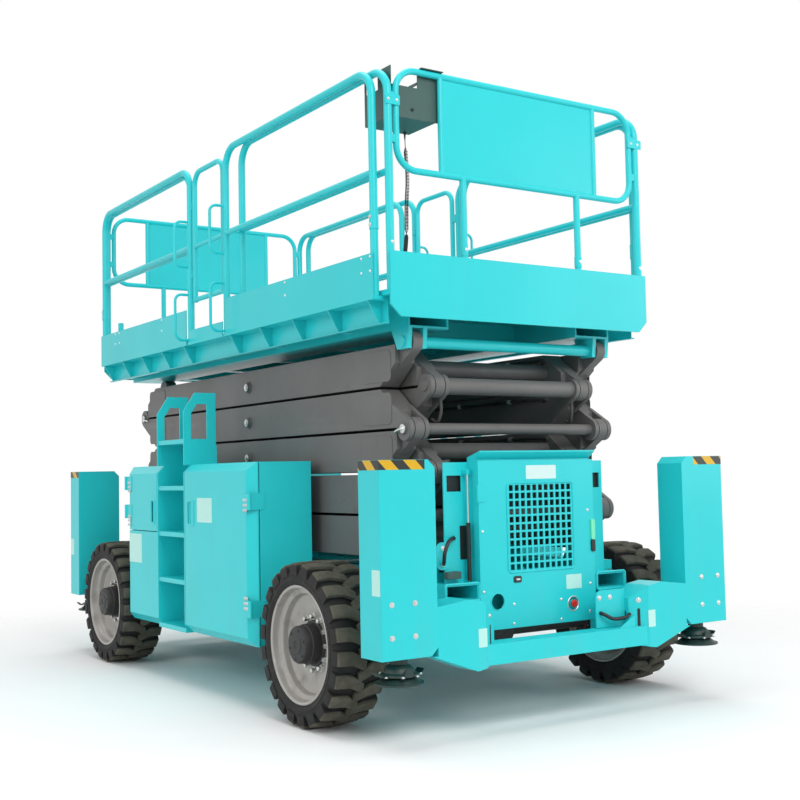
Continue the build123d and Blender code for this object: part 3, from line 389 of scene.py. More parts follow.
class Look(Enum):
    """Every finish on the machine."""

    TEAL = SheetPaint("teal_gloss_paint", (0.022, 0.660, 0.700))
    ARM = ArmPaint("arm_grey_paint", (0.150, 0.145, 0.142))
    BLACK = ArmPaint("axle_black_paint", (0.018, 0.019, 0.019), 0.45)
    BLOCK = ArmPaint("engine_cast_grey", (0.07, 0.07, 0.07), 0.6)
    CYLINDER = ArmPaint("cylinder_paint", (0.06, 0.06, 0.06), 0.35)
    ROD = Metal("hard_chrome", (0.62, 0.62, 0.63), 0.16, 1.0, 0.15)
    RIM = Metal("rim_silver_paint", (0.40, 0.385, 0.36), 0.34, 0.35, 0.45, (0.12, 0.105, 0.085))
    ZINC = Metal("zinc_plate", (0.66, 0.68, 0.66), 0.24, 0.9, 0.25)
    FOOT = ArmPaint("foot_green_black", (0.010, 0.034, 0.029), 0.38)
    BRACKET = ArmPaint("bracket_green_grey", (0.045, 0.105, 0.095), 0.42)
    HOSE = Rubber("hose_rubber", colour=(0.016, 0.016, 0.016))
    ARM_HOSE = Rubber("hose_grey", colour=(0.075, 0.073, 0.070))
    # Black plastic parts; the same black also paints shade on flat plates in a slot, in the pull recesses and
    # behind holes.
    DARK = Plastic("black_plastic_and_painted_shade", (0.012, 0.012, 0.013), 0.45)
    RED = Plastic("red_button", (0.62, 0.018, 0.010), 0.28, 0.15)
    PLATE = Plastic("blank_plate", (0.50, 0.86, 0.80), 0.35, 0.12)
    WHITE = Plastic("white_plate", (0.66, 0.86, 0.84), 0.35, 0.12)
    LENS = Plastic("handle_green", (0.20, 0.82, 0.50), 0.25, 0.1)
    STRIPE = Hazard("hazard_stripes")
    CLOTH = Plastic("control_black", (0.02, 0.021, 0.022), 0.5)


_MADE: dict[str, bpy.types.Material] = {}


def material(look: "Look | Rubber") -> bpy.types.Material:
    """The material of a finish, made once."""
    finish = look.value if isinstance(look, Look) else look
    if finish.name not in _MADE:
        _MADE[finish.name] = finish.make()
    return _MADE[finish.name]


# Shapes


def unit(v: np.ndarray) -> np.ndarray:
    """Vectors of length one along the last axis."""
    return v / np.maximum(np.linalg.norm(v, axis=-1, keepdims=True), 1e-12)


def place_on(made: bpy.types.Object, body: str, slot: str, *nodes: str) -> None:
    """Link a piece to the scene, give it its body, and hide the nodes it stands for."""
    bpy.context.scene.collection.objects.link(made)
    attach(made, body)
    if nodes:
        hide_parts(*nodes)


class Shell:
    """Gathers the corner and face arrays of one piece."""

    def __init__(self) -> None:
        """Start empty."""
        self.corners: list[np.ndarray] = []
        self.faces: list[tuple[np.ndarray, int]] = []
        self.count = 0

    def add(self, corners: np.ndarray, faces: "np.ndarray | list[np.ndarray]", mark: int = 0) -> "Shell":
        """Add corners (n, 3) and faces (m, k) that number them, with a material's place in the list."""
        corners = np.asarray(corners, float).reshape(-1, 3)
        for group in faces if isinstance(faces, list) else [faces]:
            self.faces.append((np.atleast_2d(np.asarray(group, int)) + self.count, mark))
        self.corners.append(corners)
        self.count += len(corners)
        return self

    def grid(self, points: np.ndarray, mark: int = 0, wrap_u: bool = False, wrap_v: bool = False,
             flip: bool = False) -> "Shell":
        """Add the surface through a grid of points (m, n, 3) as quads; a wrapped side joins its ends."""
        m, n = points.shape[:2]
        i = np.arange(m if wrap_u else m - 1)[:, None]
        j = np.arange(n if wrap_v else n - 1)[None, :]
        a, b = (i * n + j), (((i + 1) % m) * n + j)
        c, d = (((i + 1) % m) * n + (j + 1) % n), (i * n + (j + 1) % n)
        quads = np.stack([a, b, c, d], -1).reshape(-1, 4)
        return self.add(points.reshape(-1, 3), quads[:, ::-1] if flip else quads, mark)

    def copies(self, part: "Shell", places: np.ndarray, turns: "np.ndarray | None" = None,
               mark: "int | None" = None) -> "Shell":
        """Add a part many times: corners times each turn (k, 3, 3) plus each place (k, 3)."""
        base = np.concatenate(part.corners)
        places = np.asarray(places, float).reshape(-1, 3)
        turned = base[None] if turns is None else np.einsum("nj,kij->kni", base, turns)
        spread = turned + places[:, None, :]
        offsets = (np.arange(len(places)) * len(base))[:, None, None]
        start = self.count
        for group, old in part.faces:
            blocks = (group[None] + offsets).reshape(-1, group.shape[1])
            self.faces.append((blocks + start, old if mark is None else mark))
        self.corners.append(spread.reshape(-1, 3))
        self.count += spread.shape[0] * spread.shape[1]
        return self

    def put(self, part: "Shell", way: Vec, places: "Vec | list[Vec] | np.ndarray",
            mark: "int | None" = None) -> "Shell":
        """Add a part at one place or more, its height along a direction."""
        places = np.asarray(places, float).reshape(-1, 3)
        return self.copies(part, places, np.repeat(turn_to(way)[None], len(places), 0), mark)

    def join(self, part: "Shell", mark: "int | None" = None) -> "Shell":
        """Add a part where it is."""
        return self.copies(part, np.zeros((1, 3)), mark=mark)

    def piece(self, name: str, body: str, looks: list["Look | Rubber"], slot: str, *nodes: str,
              bevel: float = 0.0, sharp: float = 34.0) -> bpy.types.Object:
        """Write the mesh and dress it.

        Args:
            name: piece name.
            body: body it rides on.
            looks: finishes by mark.
            slot: the record's material slot; not used.
            nodes: CAD nodes that it stands for.
            bevel: width of a rounded edge.
            sharp: angle in degrees past which an edge stays sharp.

        Returns:
            The object.
        """
        mesh = bpy.data.meshes.new(name)
        corners = np.concatenate(self.corners)
        mesh.vertices.add(len(corners))
        mesh.vertices.foreach_set("co", corners.astype(np.float32).ravel())
        loops = np.concatenate([g.ravel() for g, _ in self.faces])
        sizes = np.concatenate([np.full(len(g), g.shape[1]) for g, _ in self.faces])
        marks = np.concatenate([np.full(len(g), m) for g, m in self.faces])
        mesh.loops.add(len(loops))
        mesh.loops.foreach_set("vertex_index", loops.astype(np.int32))
        mesh.polygons.add(len(sizes))
        mesh.polygons.foreach_set("loop_start", np.concatenate([[0], np.cumsum(sizes)[:-1]]).astype(np.int32))
        mesh.polygons.foreach_set("material_index", marks.astype(np.int32))
        mesh.polygons.foreach_set("use_smooth", np.ones(len(sizes), bool))
        mesh.update(calc_edges=True)
        mesh.validate()
        mesh.set_sharp_from_angle(angle=math.radians(sharp))
        for look in looks:
            mesh.materials.append(material(look))
        made = bpy.data.objects.new(name, mesh)
        if bevel > 0:
            rounded = made.modifiers.new("rounded", "BEVEL")
            rounded.width = bevel
            rounded.segments = 2
            rounded.limit_method = "ANGLE"
            rounded.angle_limit = math.radians(40)
        place_on(made, body, slot, *nodes)
        LOG.info("%s: %d faces on %s", name, len(sizes), body)
        return made


def turn_to(direction: "Vec | np.ndarray", up: Vec = (0.0, 0.0, 1.0)) -> np.ndarray:
    """Matrix whose third column is the direction and first column lies across the up vector."""
    w = unit(np.asarray(direction, float))
    helper = np.asarray(up, float) if abs(w @ np.asarray(up, float)) < 0.95 else np.array([1.0, 0.0, 0.0])
    u = unit(np.cross(helper, w))
    return np.stack([u, np.cross(w, u), w], axis=1)


def lathe(profile: list[Pair], sides: int = 32, mark: int = 0, closed: bool = False) -> Shell:
    """Turned part: each (height, radius) of the profile goes round Z as (r cos a, r sin a, height)."""
    p = np.asarray(profile, float)
    a = np.linspace(0, 2 * np.pi, sides, endpoint=False)[None, :]
    points = np.stack([p[:, 1:] * np.cos(a), p[:, 1:] * np.sin(a), np.repeat(p[:, :1], sides, 1)], -1)
    return Shell().grid(points, mark, wrap_u=closed, wrap_v=True, flip=True)


def slab(outline: "list[Pair] | np.ndarray", low: float, high: float, mark: int = 0) -> Shell:
    """Flat plate: an outline (x, y), anticlockwise, between two heights."""
    o = np.asarray(outline, float)
    n = len(o)
    ring = np.arange(n)
    lower = np.c_[o, np.full(n, low)]
    upper = np.c_[o, np.full(n, high)]
    sides = np.stack([ring, (ring + 1) % n, (ring + 1) % n + n, ring + n], -1)
    return Shell().add(np.r_[lower, upper], [sides, ring[::-1][None], ring[None] + n], mark)


def rounded_box(width: float, depth: float, low: float, high: float, corner: float) -> Shell:
    """Plate with rounded corners, centred: each corner is a quarter circle of the corner radius."""
    steps = np.linspace(0, np.pi / 2, 5)
    centres = [(1, 1), (-1, 1), (-1, -1), (1, -1)]
    arcs = [np.c_[sx * (width / 2 - corner) + corner * np.cos(steps + k * np.pi / 2),
                  sy * (depth / 2 - corner) + corner * np.sin(steps + k * np.pi / 2)]
            for k, (sx, sy) in enumerate(centres)]
    return slab(np.concatenate(arcs), low, high)


def smooth_path(points: "list[Vec] | np.ndarray", count: int = 40) -> np.ndarray:
    """Points along a Catmull-Rom curve: each run is the cubic of its four neighbours."""
    p = np.asarray(points, float)
    q = np.concatenate([2 * p[:1] - p[1:2], p, 2 * p[-1:] - p[-2:-1]])
    t = np.linspace(0, len(p) - 1 - 1e-9, count)
    k = t.astype(int)
    f = (t - k)[:, None]
    a, b, c, d = q[k], q[k + 1], q[k + 2], q[k + 3]
    square, cube = 2 * a - 5 * b + 4 * c - d, 3 * b - a - 3 * c + d
    return 0.5 * (2 * b + (c - a) * f + square * f ** 2 + cube * f ** 3)


def tube(path: np.ndarray, radius: "float | np.ndarray", sides: int = 12, mark: int = 0,
         up: Vec = (0.31, 0.17, 0.94)) -> Shell:
    """Round tube along a path: at each point a circle across the path's direction, its ends closed."""
    path = np.asarray(path, float)
    along = unit(np.gradient(path, axis=0))
    side = unit(np.cross(along, np.asarray(up, float)))
    over = np.cross(side, along)
    a = np.linspace(0, 2 * np.pi, sides, endpoint=False)
    r = np.broadcast_to(np.asarray(radius, float), (len(path),))[:, None, None]
    ring = np.cos(a)[None, :, None] * side[:, None] + np.sin(a)[None, :, None] * over[:, None]
    shell = Shell().grid(path[:, None] + r * ring, mark, wrap_v=True)
    last = (len(path) - 1) * sides
    shell.faces.append((np.arange(sides)[None], mark))
    shell.faces.append((np.arange(sides)[::-1][None] + last, mark))
    return shell


def bolt(radius: float, height: float, washer: float = 1.55) -> Shell:
    """Hexagon head with a chamfered top on a round washer, along +Z from 0."""
    a = np.arange(6) * np.pi / 3
    rings = [(1.0, 0.22), (1.0, 0.85), (0.86, 1.0)]
    head = np.stack([np.c_[radius * s * np.cos(a), radius * s * np.sin(a), np.full(6, height * h)]
                     for s, h in rings])
    shell = Shell().grid(head, wrap_v=True, flip=True)
    shell.faces.append((np.arange(6)[None] + 12, 0))
    rim = lathe([(0.0, radius * washer), (height * 0.2, radius * washer), (height * 0.22, radius * 0.8)], 14)
    return shell.copies(rim, np.zeros((1, 3)))


def dome(radius: float, height: float, sides: int = 16) -> Shell:
    """Low rounded screw head: radius falls as the cosine while height rises as the sine."""
    t = np.linspace(0, np.pi / 2, 5)
    profile = [(0.0, radius)]
    profile += [(height * math.sin(s), max(radius * math.cos(s), radius * 0.02)) for s in t[1:]]
    shell = lathe(profile, sides)
    shell.faces.append((np.arange(sides)[None] + 4 * sides, 0))
    return shell


# Light, floor and camera


@dataclass
class Studio:
    """Pale floor, soft lamps and the camera at the photograph's place."""

    eye: Vec = (-4.0993, -6.8242, 1.2755)
    yaw: float = 33.597
    pitch: float = 3.551
    roll: float = -1.164
    focal: float = 1193.27
    world: float = 0.54
    floor_size: float = 16.0

    def camera(self) -> None:
        """The camera: its axes come from yaw about Z, then pitch, then roll about the line of sight."""
        a, b, c = (math.radians(v) for v in (self.yaw, self.pitch, self.roll))
        sight = np.array([math.sin(a) * math.cos(b), math.cos(a) * math.cos(b), math.sin(b)])
        right = np.array([math.cos(a), -math.sin(a), 0.0])
        above = np.cross(right, sight)
        across = right * math.cos(c) + above * math.sin(c)
        upward = above * math.cos(c) - right * math.sin(c)
        data = bpy.data.cameras.new("camera")
        data.sensor_width = 36.0
        data.lens = self.focal * 36.0 / 800.0
        data.clip_end = 100.0
        holder = bpy.data.objects.new("camera", data)
        turn = Matrix(np.stack([across, upward, -sight], axis=1).tolist()).to_4x4()
        holder.matrix_world = Matrix.Translation(self.eye) @ turn
        bpy.context.scene.collection.objects.link(holder)
        bpy.context.scene.camera = holder

    def lamp(self, name: str, place: Vec, aim: Vec, size: float, power: float) -> None:
        """A square area lamp at a place, turned to its aim."""
        data = bpy.data.lights.new(name, "AREA")
        data.size = size
        data.energy = power
        holder = bpy.data.objects.new(name, data)
        turn = turn_to(np.subtract(place, aim))
        holder.matrix_world = Matrix.Translation(place) @ Matrix(turn.tolist()).to_4x4()
        bpy.context.scene.collection.objects.link(holder)

    def sky(self) -> None:
        """World light: plain white to the camera and in reflections, softer on the object."""
        world = bpy.data.worlds.new("sky")
        bpy.context.scene.world = world
        world.use_nodes = True
        tree = world.node_tree
        rays = tree.nodes.new("ShaderNodeLightPath")
        seen = tree.nodes.new("ShaderNodeMath")
        seen.operation = "MAXIMUM"
        tree.links.new(rays.outputs["Is Camera Ray"], seen.inputs[0])
        more = tree.nodes.new("ShaderNodeMath")
        more.operation = "MAXIMUM"
        tree.links.new(rays.outputs["Is Transmission Ray"], more.inputs[0])
        tree.links.new(rays.outputs["Is Glossy Ray"], more.inputs[1])
        tree.links.new(more.outputs[0], seen.inputs[1])
        level = tree.nodes.new("ShaderNodeMapRange")
        level.inputs["To Min"].default_value = self.world
        level.inputs["To Max"].default_value = 1.0
        tree.links.new(seen.outputs[0], level.inputs["Value"])
        back = tree.nodes["Background"]
        back.inputs["Color"].default_value = (1.0, 1.0, 1.0, 1.0)
        tree.links.new(level.outputs[0], back.inputs["Strength"])

    def floor(self) -> None:
        """Pale floor disc that fades into the white background with its distance."""
        rings = lathe([(0.0, self.floor_size), (0.0, 0.01)], 64)
        mesh = bpy.data.meshes.new("floor")
        mesh.from_pydata(np.concatenate(rings.corners).tolist(), [], rings.faces[0][0].tolist())
        made = bpy.data.objects.new("floor", mesh)
        bpy.context.scene.collection.objects.link(made)
        g = Graph("pale_floor")
        x, y, _ = g.axes()
        away = (x * x + y * y).root()
        g.finish(Base_Color=g.mix(g.noise(3.0), (0.90, 0.90, 0.90), (0.93, 0.93, 0.93)), Roughness=0.8,
                 Specular_IOR_Level=0.1, Alpha=1.0 - away.step(2.4, 5.6))
        mesh.materials.append(g.material)

    def build(self) -> None:
        """Everything but the object."""
        bpy.context.scene.view_settings.view_transform = "Standard"
        self.camera()
        self.sky()
        self.floor()
        self.lamp("key", (-1.5, -8.5, 6.5), (0.0, -1.0, 1.5), 4.5, 360.0)
        self.lamp("side", (-8.0, -1.0, 4.5), (-1.0, 0.0, 1.5), 4.0, 135.0)
        self.lamp("fill", (6.0, -6.0, 3.0), (0.5, 0.0, 1.4), 4.0, 100.0)
        self.lamp("top", (0.0, 4.0, 28.0), (0.0, 0.0, 2.0), 20.0, 2900.0)


# Wheels


@dataclass
class Tyre:
    """Rough-terrain tyre with staggered dog-leg lugs on a rounded carcass."""

    corner: str
    centre: Vec
    side: int
    radius: float = 0.420
    width: float = 0.290
    seat: float = 0.2945
    tread: float = 0.3925
    lugs: int = 22

    def carcass(self) -> Shell:
        """Outline from one bead over the tread to the other, turned round the axle."""
        w = self.width / 2
        side = ((0.022, 0.0), (0.016, 0.004), (0.010, 0.014), (0.004, 0.030), (0.0015, 0.034),
                (0.0015, 0.040), (0.004, 0.043), (0.003, 0.056), (0.007, 0.068), (0.016, 0.082))
        half = [(w - a, self.seat + b) for a, b in side]
        half += [(w - 0.030, self.tread - 0.006), (w - 0.060, self.tread), (0.0, self.tread + 0.002)]
        profile = half + [(-a, r) for a, r in half[-2::-1]]
        return lathe(profile, 88, closed=True)

    def lug_ring(self, side: int) -> Shell:
        """One side's lugs: stations run from the sidewall to the middle, and across each runs a trapezoid.

        A point at station (a, t) and share v across lies at angle (t + v w) / R and at the radius of
        that profile place; both ends close down to the carcass.
        """
        edge = self.width / 2
        bar = 2 * math.pi * self.radius / self.lugs
        a = np.array([0.998, 0.996, 0.985, 0.94, 0.70, 0.40, 0.30, 0.10, -0.06, -0.14, -0.16]) * edge
        t = np.array([0.0, 0.0, 0.0, 0.0, 0.0, 0.02, 0.07, 0.21, 0.32, 0.37, 0.38]) * bar
        w = np.array([0.34, 0.33, 0.315, 0.30, 0.29, 0.285, 0.28, 0.26, 0.24, 0.22, 0.21]) * bar
        top = np.array([0.352, 0.385, 0.402, 0.4125, 0.4165, 0.418, 0.4185, 0.4190, 0.4190, 0.4150,
                        self.tread - 0.004])
        base = np.array([0.350, 0.352, 0.358, 0.366, 0.386, 0.389, 0.389, 0.389, 0.389, 0.388,
                         self.tread - 0.005])
        v = np.array([-1.14, -1.0, -0.90, -0.3, 0.3, 0.90, 1.0, 1.14])
        rise = np.array([0.0, 0.86, 1.0, 1.0, 1.0, 1.0, 0.86, 0.0])
        r = base[:, None] + (top - base)[:, None] * rise[None, :]
        angle = (t[:, None] + w[:, None] * v[None, :]) / self.radius
        x = np.repeat(side * a[:, None], len(v), 1)
        shape = np.stack([x, r * np.sin(angle), -r * np.cos(angle)], -1)
        one = Shell().grid(shape, flip=side > 0)
        turns = 2 * np.pi / self.lugs * (np.arange(self.lugs) + (0.25 if side > 0 else -0.25))
        c, s = np.cos(turns), np.sin(turns)
        zero, full = np.zeros_like(c), np.ones_like(c)
        rows = [np.stack([full, zero, zero], -1), np.stack([zero, c, -s], -1), np.stack([zero, s, c], -1)]
        return Shell().copies(one, np.zeros((self.lugs, 3)), np.stack(rows, 1))

    def build(self) -> None:
        """Tyre in place of its plain node."""
        shell = Shell()
        axis = turn_to((1.0, 0.0, 0.0))
        shell.copies(self.carcass(), np.array([self.centre]), axis[None])
        mirror = np.diag([float(-self.side), 1.0, 1.0]) if self.side > 0 else np.eye(3)
        for side in (1, -1):
            ring = self.lug_ring(side)
            if self.side > 0:
                ring.faces = [(g[:, ::-1], m) for g, m in ring.faces]
            shell.copies(ring, np.array([self.centre]), mirror[None])
        rubber = Rubber(f"{self.corner}_tyre_rubber", (self.centre[1], self.centre[2]))
        shell.piece(f"{self.corner}_treaded_tyre", f"{self.corner}_wheel", [rubber], "tyre_rubber",
                    f"{self.corner}_tyre", sharp=30.0)


@dataclass
class Wheel:
    """Silver rim with a rounded lip and a dish, black hub and a ring of nuts."""

    corner: str
    centre: Vec
    side: int
    nuts: int = 12
    nut_circle: float = 0.137

    def build(self) -> None:
        """Rim, hub and nuts in place of the plain wheel; profile heights run outwards on the axle."""
        rim = lathe([(-0.131, 0.285), (-0.131, 0.2935), (-0.089, 0.2935), (-0.073, 0.262), (0.073, 0.262),
                     (0.089, 0.2935), (0.127, 0.2935), (0.131, 0.300), (0.1345, 0.302), (0.137, 0.299),
                     (0.137, 0.294), (0.133, 0.287), (0.122, 0.284), (0.104, 0.283), (0.097, 0.279),
                     (0.092, 0.268), (0.088, 0.258), (0.080, 0.254), (0.064, 0.2525), (0.057, 0.249),
                     (0.051, 0.236), (0.046, 0.215), (0.0435, 0.190), (0.0425, 0.172), (0.0400, 0.168),
                     (0.0400, 0.090), (0.026, 0.090), (0.026, 0.243), (-0.080, 0.252), (-0.093, 0.280)],
                    72, closed=True)
        hub = lathe([(0.0400, 0.118), (0.048, 0.116), (0.052, 0.104), (0.100, 0.101), (0.104, 0.097),
                     (0.136, 0.095), (0.144, 0.090), (0.146, 0.070), (0.146, 0.050), (0.1495, 0.046),
                     (0.1495, 0.022), (0.146, 0.018), (0.146, 0.0005)], 48, 1)
        inner = lathe([(-0.02, 0.001), (-0.02, 0.140), (0.026, 0.144)], 48, 1)
        shell = Shell()
        out = turn_to((float(self.side), 0.0, 0.0))
        place = np.array([self.centre])
        for part in (rim, hub, inner):
            shell.copies(part, place, out[None])
        ring = np.arange(self.nuts) * 2 * np.pi / self.nuts
        circle = self.nut_circle * np.stack([np.cos(ring), np.sin(ring)], -1)
        spots = np.c_[circle, np.full(self.nuts, 0.040)]
        shell.copies(bolt(0.013, 0.024, 1.25), spots @ out.T + place, np.repeat(out[None], self.nuts, 0), 2)
        small = np.arange(6) * np.pi / 3 + 0.3
        caps = np.stack([0.074 * np.cos(small), 0.074 * np.sin(small), np.full(6, 0.1455)], -1)
        shell.copies(bolt(0.007, 0.004, 1.2), caps @ out.T + place, np.repeat(out[None], 6, 0), 1)
        shell.piece(f"{self.corner}_dished_wheel", f"{self.corner}_wheel", [Look.RIM, Look.BLACK, Look.ZINC],
                    "rim_paint", f"{self.corner}_wheel")


# Fine pieces


FRONT: Vec = (0, -1, 0)
UP: Vec = (0, 0, 1)
DOWN: Vec = (0, 0, -1)
SIDES = (("left", -1), ("right", 1))
ENDS = (("front", -1), ("rear", 1))
SEAM = 0.225
TOP_SEAM = 1.958
FINE_EDGE = 0.0008


def plate(width: float, height: float, thick: float, corner: float = 0.005) -> Shell:
    """Thin plate with rounded corners, its back at 0."""
    return rounded_box(width, height, 0.0, thick, corner)


def rim(width: float, height: float, corner: float, radius: float) -> Shell:
    """Round bar bent to a rounded rectangle: a circle carried round quarter arcs at the four corners."""
    steps = np.linspace(0, np.pi / 2, 7)
    angle = np.concatenate([steps + k * np.pi / 2 for k in range(4)])
    out = np.c_[np.cos(angle), np.sin(angle), np.zeros(len(angle))]
    signs = np.repeat([(1, 1, 0), (-1, 1, 0), (-1, -1, 0), (1, -1, 0)], len(steps), axis=0)
    line = signs * np.array([width / 2 - corner, height / 2 - corner, 0.0]) + corner * out
    a = np.linspace(0, 2 * np.pi, 10, endpoint=False)[None, :, None]
    ring = np.cos(a) * out[:, None] + np.sin(a) * np.array(UP)
    return Shell().grid(line[:, None] + radius * ring, wrap_u=True, wrap_v=True)


def ring_band(radius: float, height: float, thick: float = 0.0035) -> Shell:
    """Short sleeve round a post: a small rectangle turned round its axis."""
    outer = radius + thick
    return lathe([(0.0, radius), (0.0, outer), (height, outer), (height, radius)], 24, closed=True)


def flipped(outline: list[Pair], x: float, y: float) -> list[Pair]:
    """Outline with its signs changed, still anticlockwise."""
    points = [(a * x, b * y) for a, b in outline]
    return points if x * y > 0 else points[::-1]


def bent(points: list[Vec], count: int, radius: float, sides: int = 12, **more: Vec) -> Shell:
    """Round tube along the smooth curve through some points."""
    return tube(smooth_path(points, count), radius, sides, **more)


@dataclass
class ControlCord:
    """Curly wire from the control box's tray to a sleeve at the sliding deck."""

    wire: float = 0.0045
    coil: float = 0.0094
    pitch: float = 0.0078
    plain: float = 0.075
    sleeve: float = 0.300
    ramp: float = 0.030
    turn_points: int = 12
    least: float = 0.0004

    @staticmethod
    def spline(name: str, points: np.ndarray, steps: int) -> bpy.types.Curve:
        """A smooth open NURBS curve of order 3 with the points as its control points."""
        curve = bpy.data.curves.new(name, "CURVE")
        curve.dimensions = "3D"
        line = curve.splines.new("NURBS")
        line.points.add(len(points) - 1)
        line.points.foreach_set("co", np.c_[points, np.ones(len(points))].ravel())
        line.order_u = 3
        line.use_endpoint_u = True
        line.resolution_u = steps
        return curve

    def route(self) -> np.ndarray:
        """Dense points read from the route's own spline."""
        points = [(-0.594, -1.645, 3.090), (-0.594, -1.645, 3.035), (-0.584, -1.637, 2.965),
                  (-0.574, -1.631, 2.895), (-0.570, -1.627, 2.825), (-0.574, -1.624, 2.755),
                  (-0.580, -1.626, 2.685), (-0.584, -1.631, 2.615), (-0.588, -1.634, 2.545),
                  (-0.594, -1.632, 2.475), (-0.601, -1.628, 2.405), (-0.607, -1.628, 2.340),
                  (-0.611, -1.630, 2.290), (-0.611, -1.630, 2.245)]
        holder = bpy.data.objects.new("cord_route", self.spline("cord_route", np.array(points), 24))
        mesh = bpy.data.meshes.new_from_object(holder)
        found = np.empty(len(mesh.vertices) * 3)
        mesh.vertices.foreach_get("co", found)
        bpy.data.objects.remove(holder)
        return found.reshape(-1, 3)

    def helix(self, route: np.ndarray) -> np.ndarray:
        """Turns round the route: at run s the wire is at the angle 2 pi s / pitch, its radius ramped."""
        run = np.concatenate([[0.0], np.cumsum(np.linalg.norm(np.diff(route, axis=0), axis=1))])
        s = np.arange(0.0, run[-1], self.pitch / self.turn_points)
        middle = np.stack([np.interp(s, run, route[:, k]) for k in range(3)], -1)
        along = unit(np.gradient(middle, axis=0))
        side = unit(np.cross(along, np.array([0.0, 1.0, 0.0])))
        over = np.cross(along, side)
        rise = np.clip((s - self.plain) / self.ramp, 0.0, 1.0)
        fall = np.clip((run[-1] - self.sleeve - s) / self.ramp, 0.0, 1.0)
        radius = self.coil * (rise * rise * (3 - 2 * rise)) * (fall * fall * (3 - 2 * fall))
        angle = 2 * np.pi * s / self.pitch
        turns = middle + radius[:, None] * (np.cos(angle)[:, None] * side + np.sin(angle)[:, None] * over)
        keep = (radius > self.least) | (np.arange(len(s)) % self.turn_points == 0)
        return np.concatenate([turns[keep], route[-1:]])

    def build(self) -> None:
        """Wire, its strain relief and the plain sleeve at its foot."""
        body, slot = "front_extension", "black_rubber"
        route = self.route()
        line = self.helix(route)
        curve = self.spline("control_cord_wire", line, 2)
        curve.bevel_depth = self.wire / 2
        curve.bevel_resolution = 2
        curve.use_fill_caps = True
        curve.materials.append(material(Look.HOSE))
        wire = bpy.data.objects.new("control_cord_wire", curve)
        place_on(wire, body, slot, "control_cord")
        gland = lathe([(0.0, 0.0085), (0.004, 0.0085), (0.006, 0.0062), (0.018, 0.0050), (0.040, 0.0030)], 20)
        relief = Shell().put(gland, DOWN, route[0])
        relief = relief.piece("control_cord_relief", body, [Look.DARK], slot)
        run = np.linalg.norm(np.diff(route, axis=0), axis=1)[::-1].cumsum()
        foot = route[-1 - int(np.searchsorted(run, self.sleeve)):]
        thick = np.interp(np.arange(len(foot)), [0, 3, 6, len(foot)], [0.006, 0.0095, 0.0112, 0.0112])
        cover = tube(foot, thick, 20).piece("control_cord_sleeve", body, [Look.HOSE], slot)


@dataclass
class ControlUnit:
    """Stop button, stick, switches and lamp on the control box's face, and the frame's clamp plates."""

    face: float = -1.817
    clamp_y: float = -1.8995
    body: str = "front_extension"

    def build(self) -> None:
        """Controls on the case and plates between post and frame."""
        stop = lathe([(0.0, 0.012), (0.010, 0.012), (0.010, 0.020), (0.016, 0.021), (0.021, 0.017),
                      (0.023, 0.001)], 24)
        boot = lathe([(0.0, 0.024), (0.004, 0.024), (0.006, 0.017), (0.012, 0.018), (0.014, 0.012),
                      (0.022, 0.010), (0.024, 0.007), (0.055, 0.008), (0.060, 0.001)], 20)
        knob = lathe([(0.0, 0.010), (0.012, 0.009), (0.014, 0.001)], 16)
        keys = [(-0.665, self.face, 3.150 + 0.018 * k) for k in range(4)]
        shell = Shell().put(plate(0.156, 0.125, 0.002), FRONT, (-0.681, self.face, 3.165))
        shell.put(stop, FRONT, (-0.717, self.face, 3.190), 1)
        shell.put(boot, FRONT, (-0.694, self.face, 3.138))
        shell.put(plate(0.014, 0.010, 0.012, 0.002), FRONT, keys)
        shell.put(knob, FRONT, (-0.620, self.face, 3.170), 2)
        shell.put(knob, FRONT, (-0.606, self.face, 3.128), 3)
        looks = [Look.CLOTH, Look.RED, Look.WHITE, Look.LENS]
        shell.piece("control_panel", self.body, looks, "black_paint", bevel=FINE_EDGE)
        sides = Shell()
        for x in (-0.824, -0.552):
            for y, z, wide, tall in ((-1.8055, 3.3035, 0.121, 0.097), (-1.624, 3.3035, 0.016, 0.097),
                                     (-1.6885, 3.344, 0.113, 0.016)):
                sides.put(plate(wide, tall, 0.004, 0.001), (1, 0, 0), (x, y, z))
        sides.piece("bracket_side_frames", self.body, [Look.BRACKET], "bracket_green")
        clamps = Shell()
        for x, wide in ((-0.838, 0.085), (0.838, 0.105)):
            clamps.put(plate(wide, 0.052, 0.006), FRONT, (x, self.clamp_y, 3.160))
            heads = [(x + d, self.clamp_y - 0.006, 3.160) for d in (-0.025, 0.025)]
            clamps.put(bolt(0.005, 0.005), FRONT, heads, 1)
        clamps.piece("frame_clamps", self.body, [Look.TEAL, Look.ZINC], "teal_paint", bevel=FINE_EDGE)


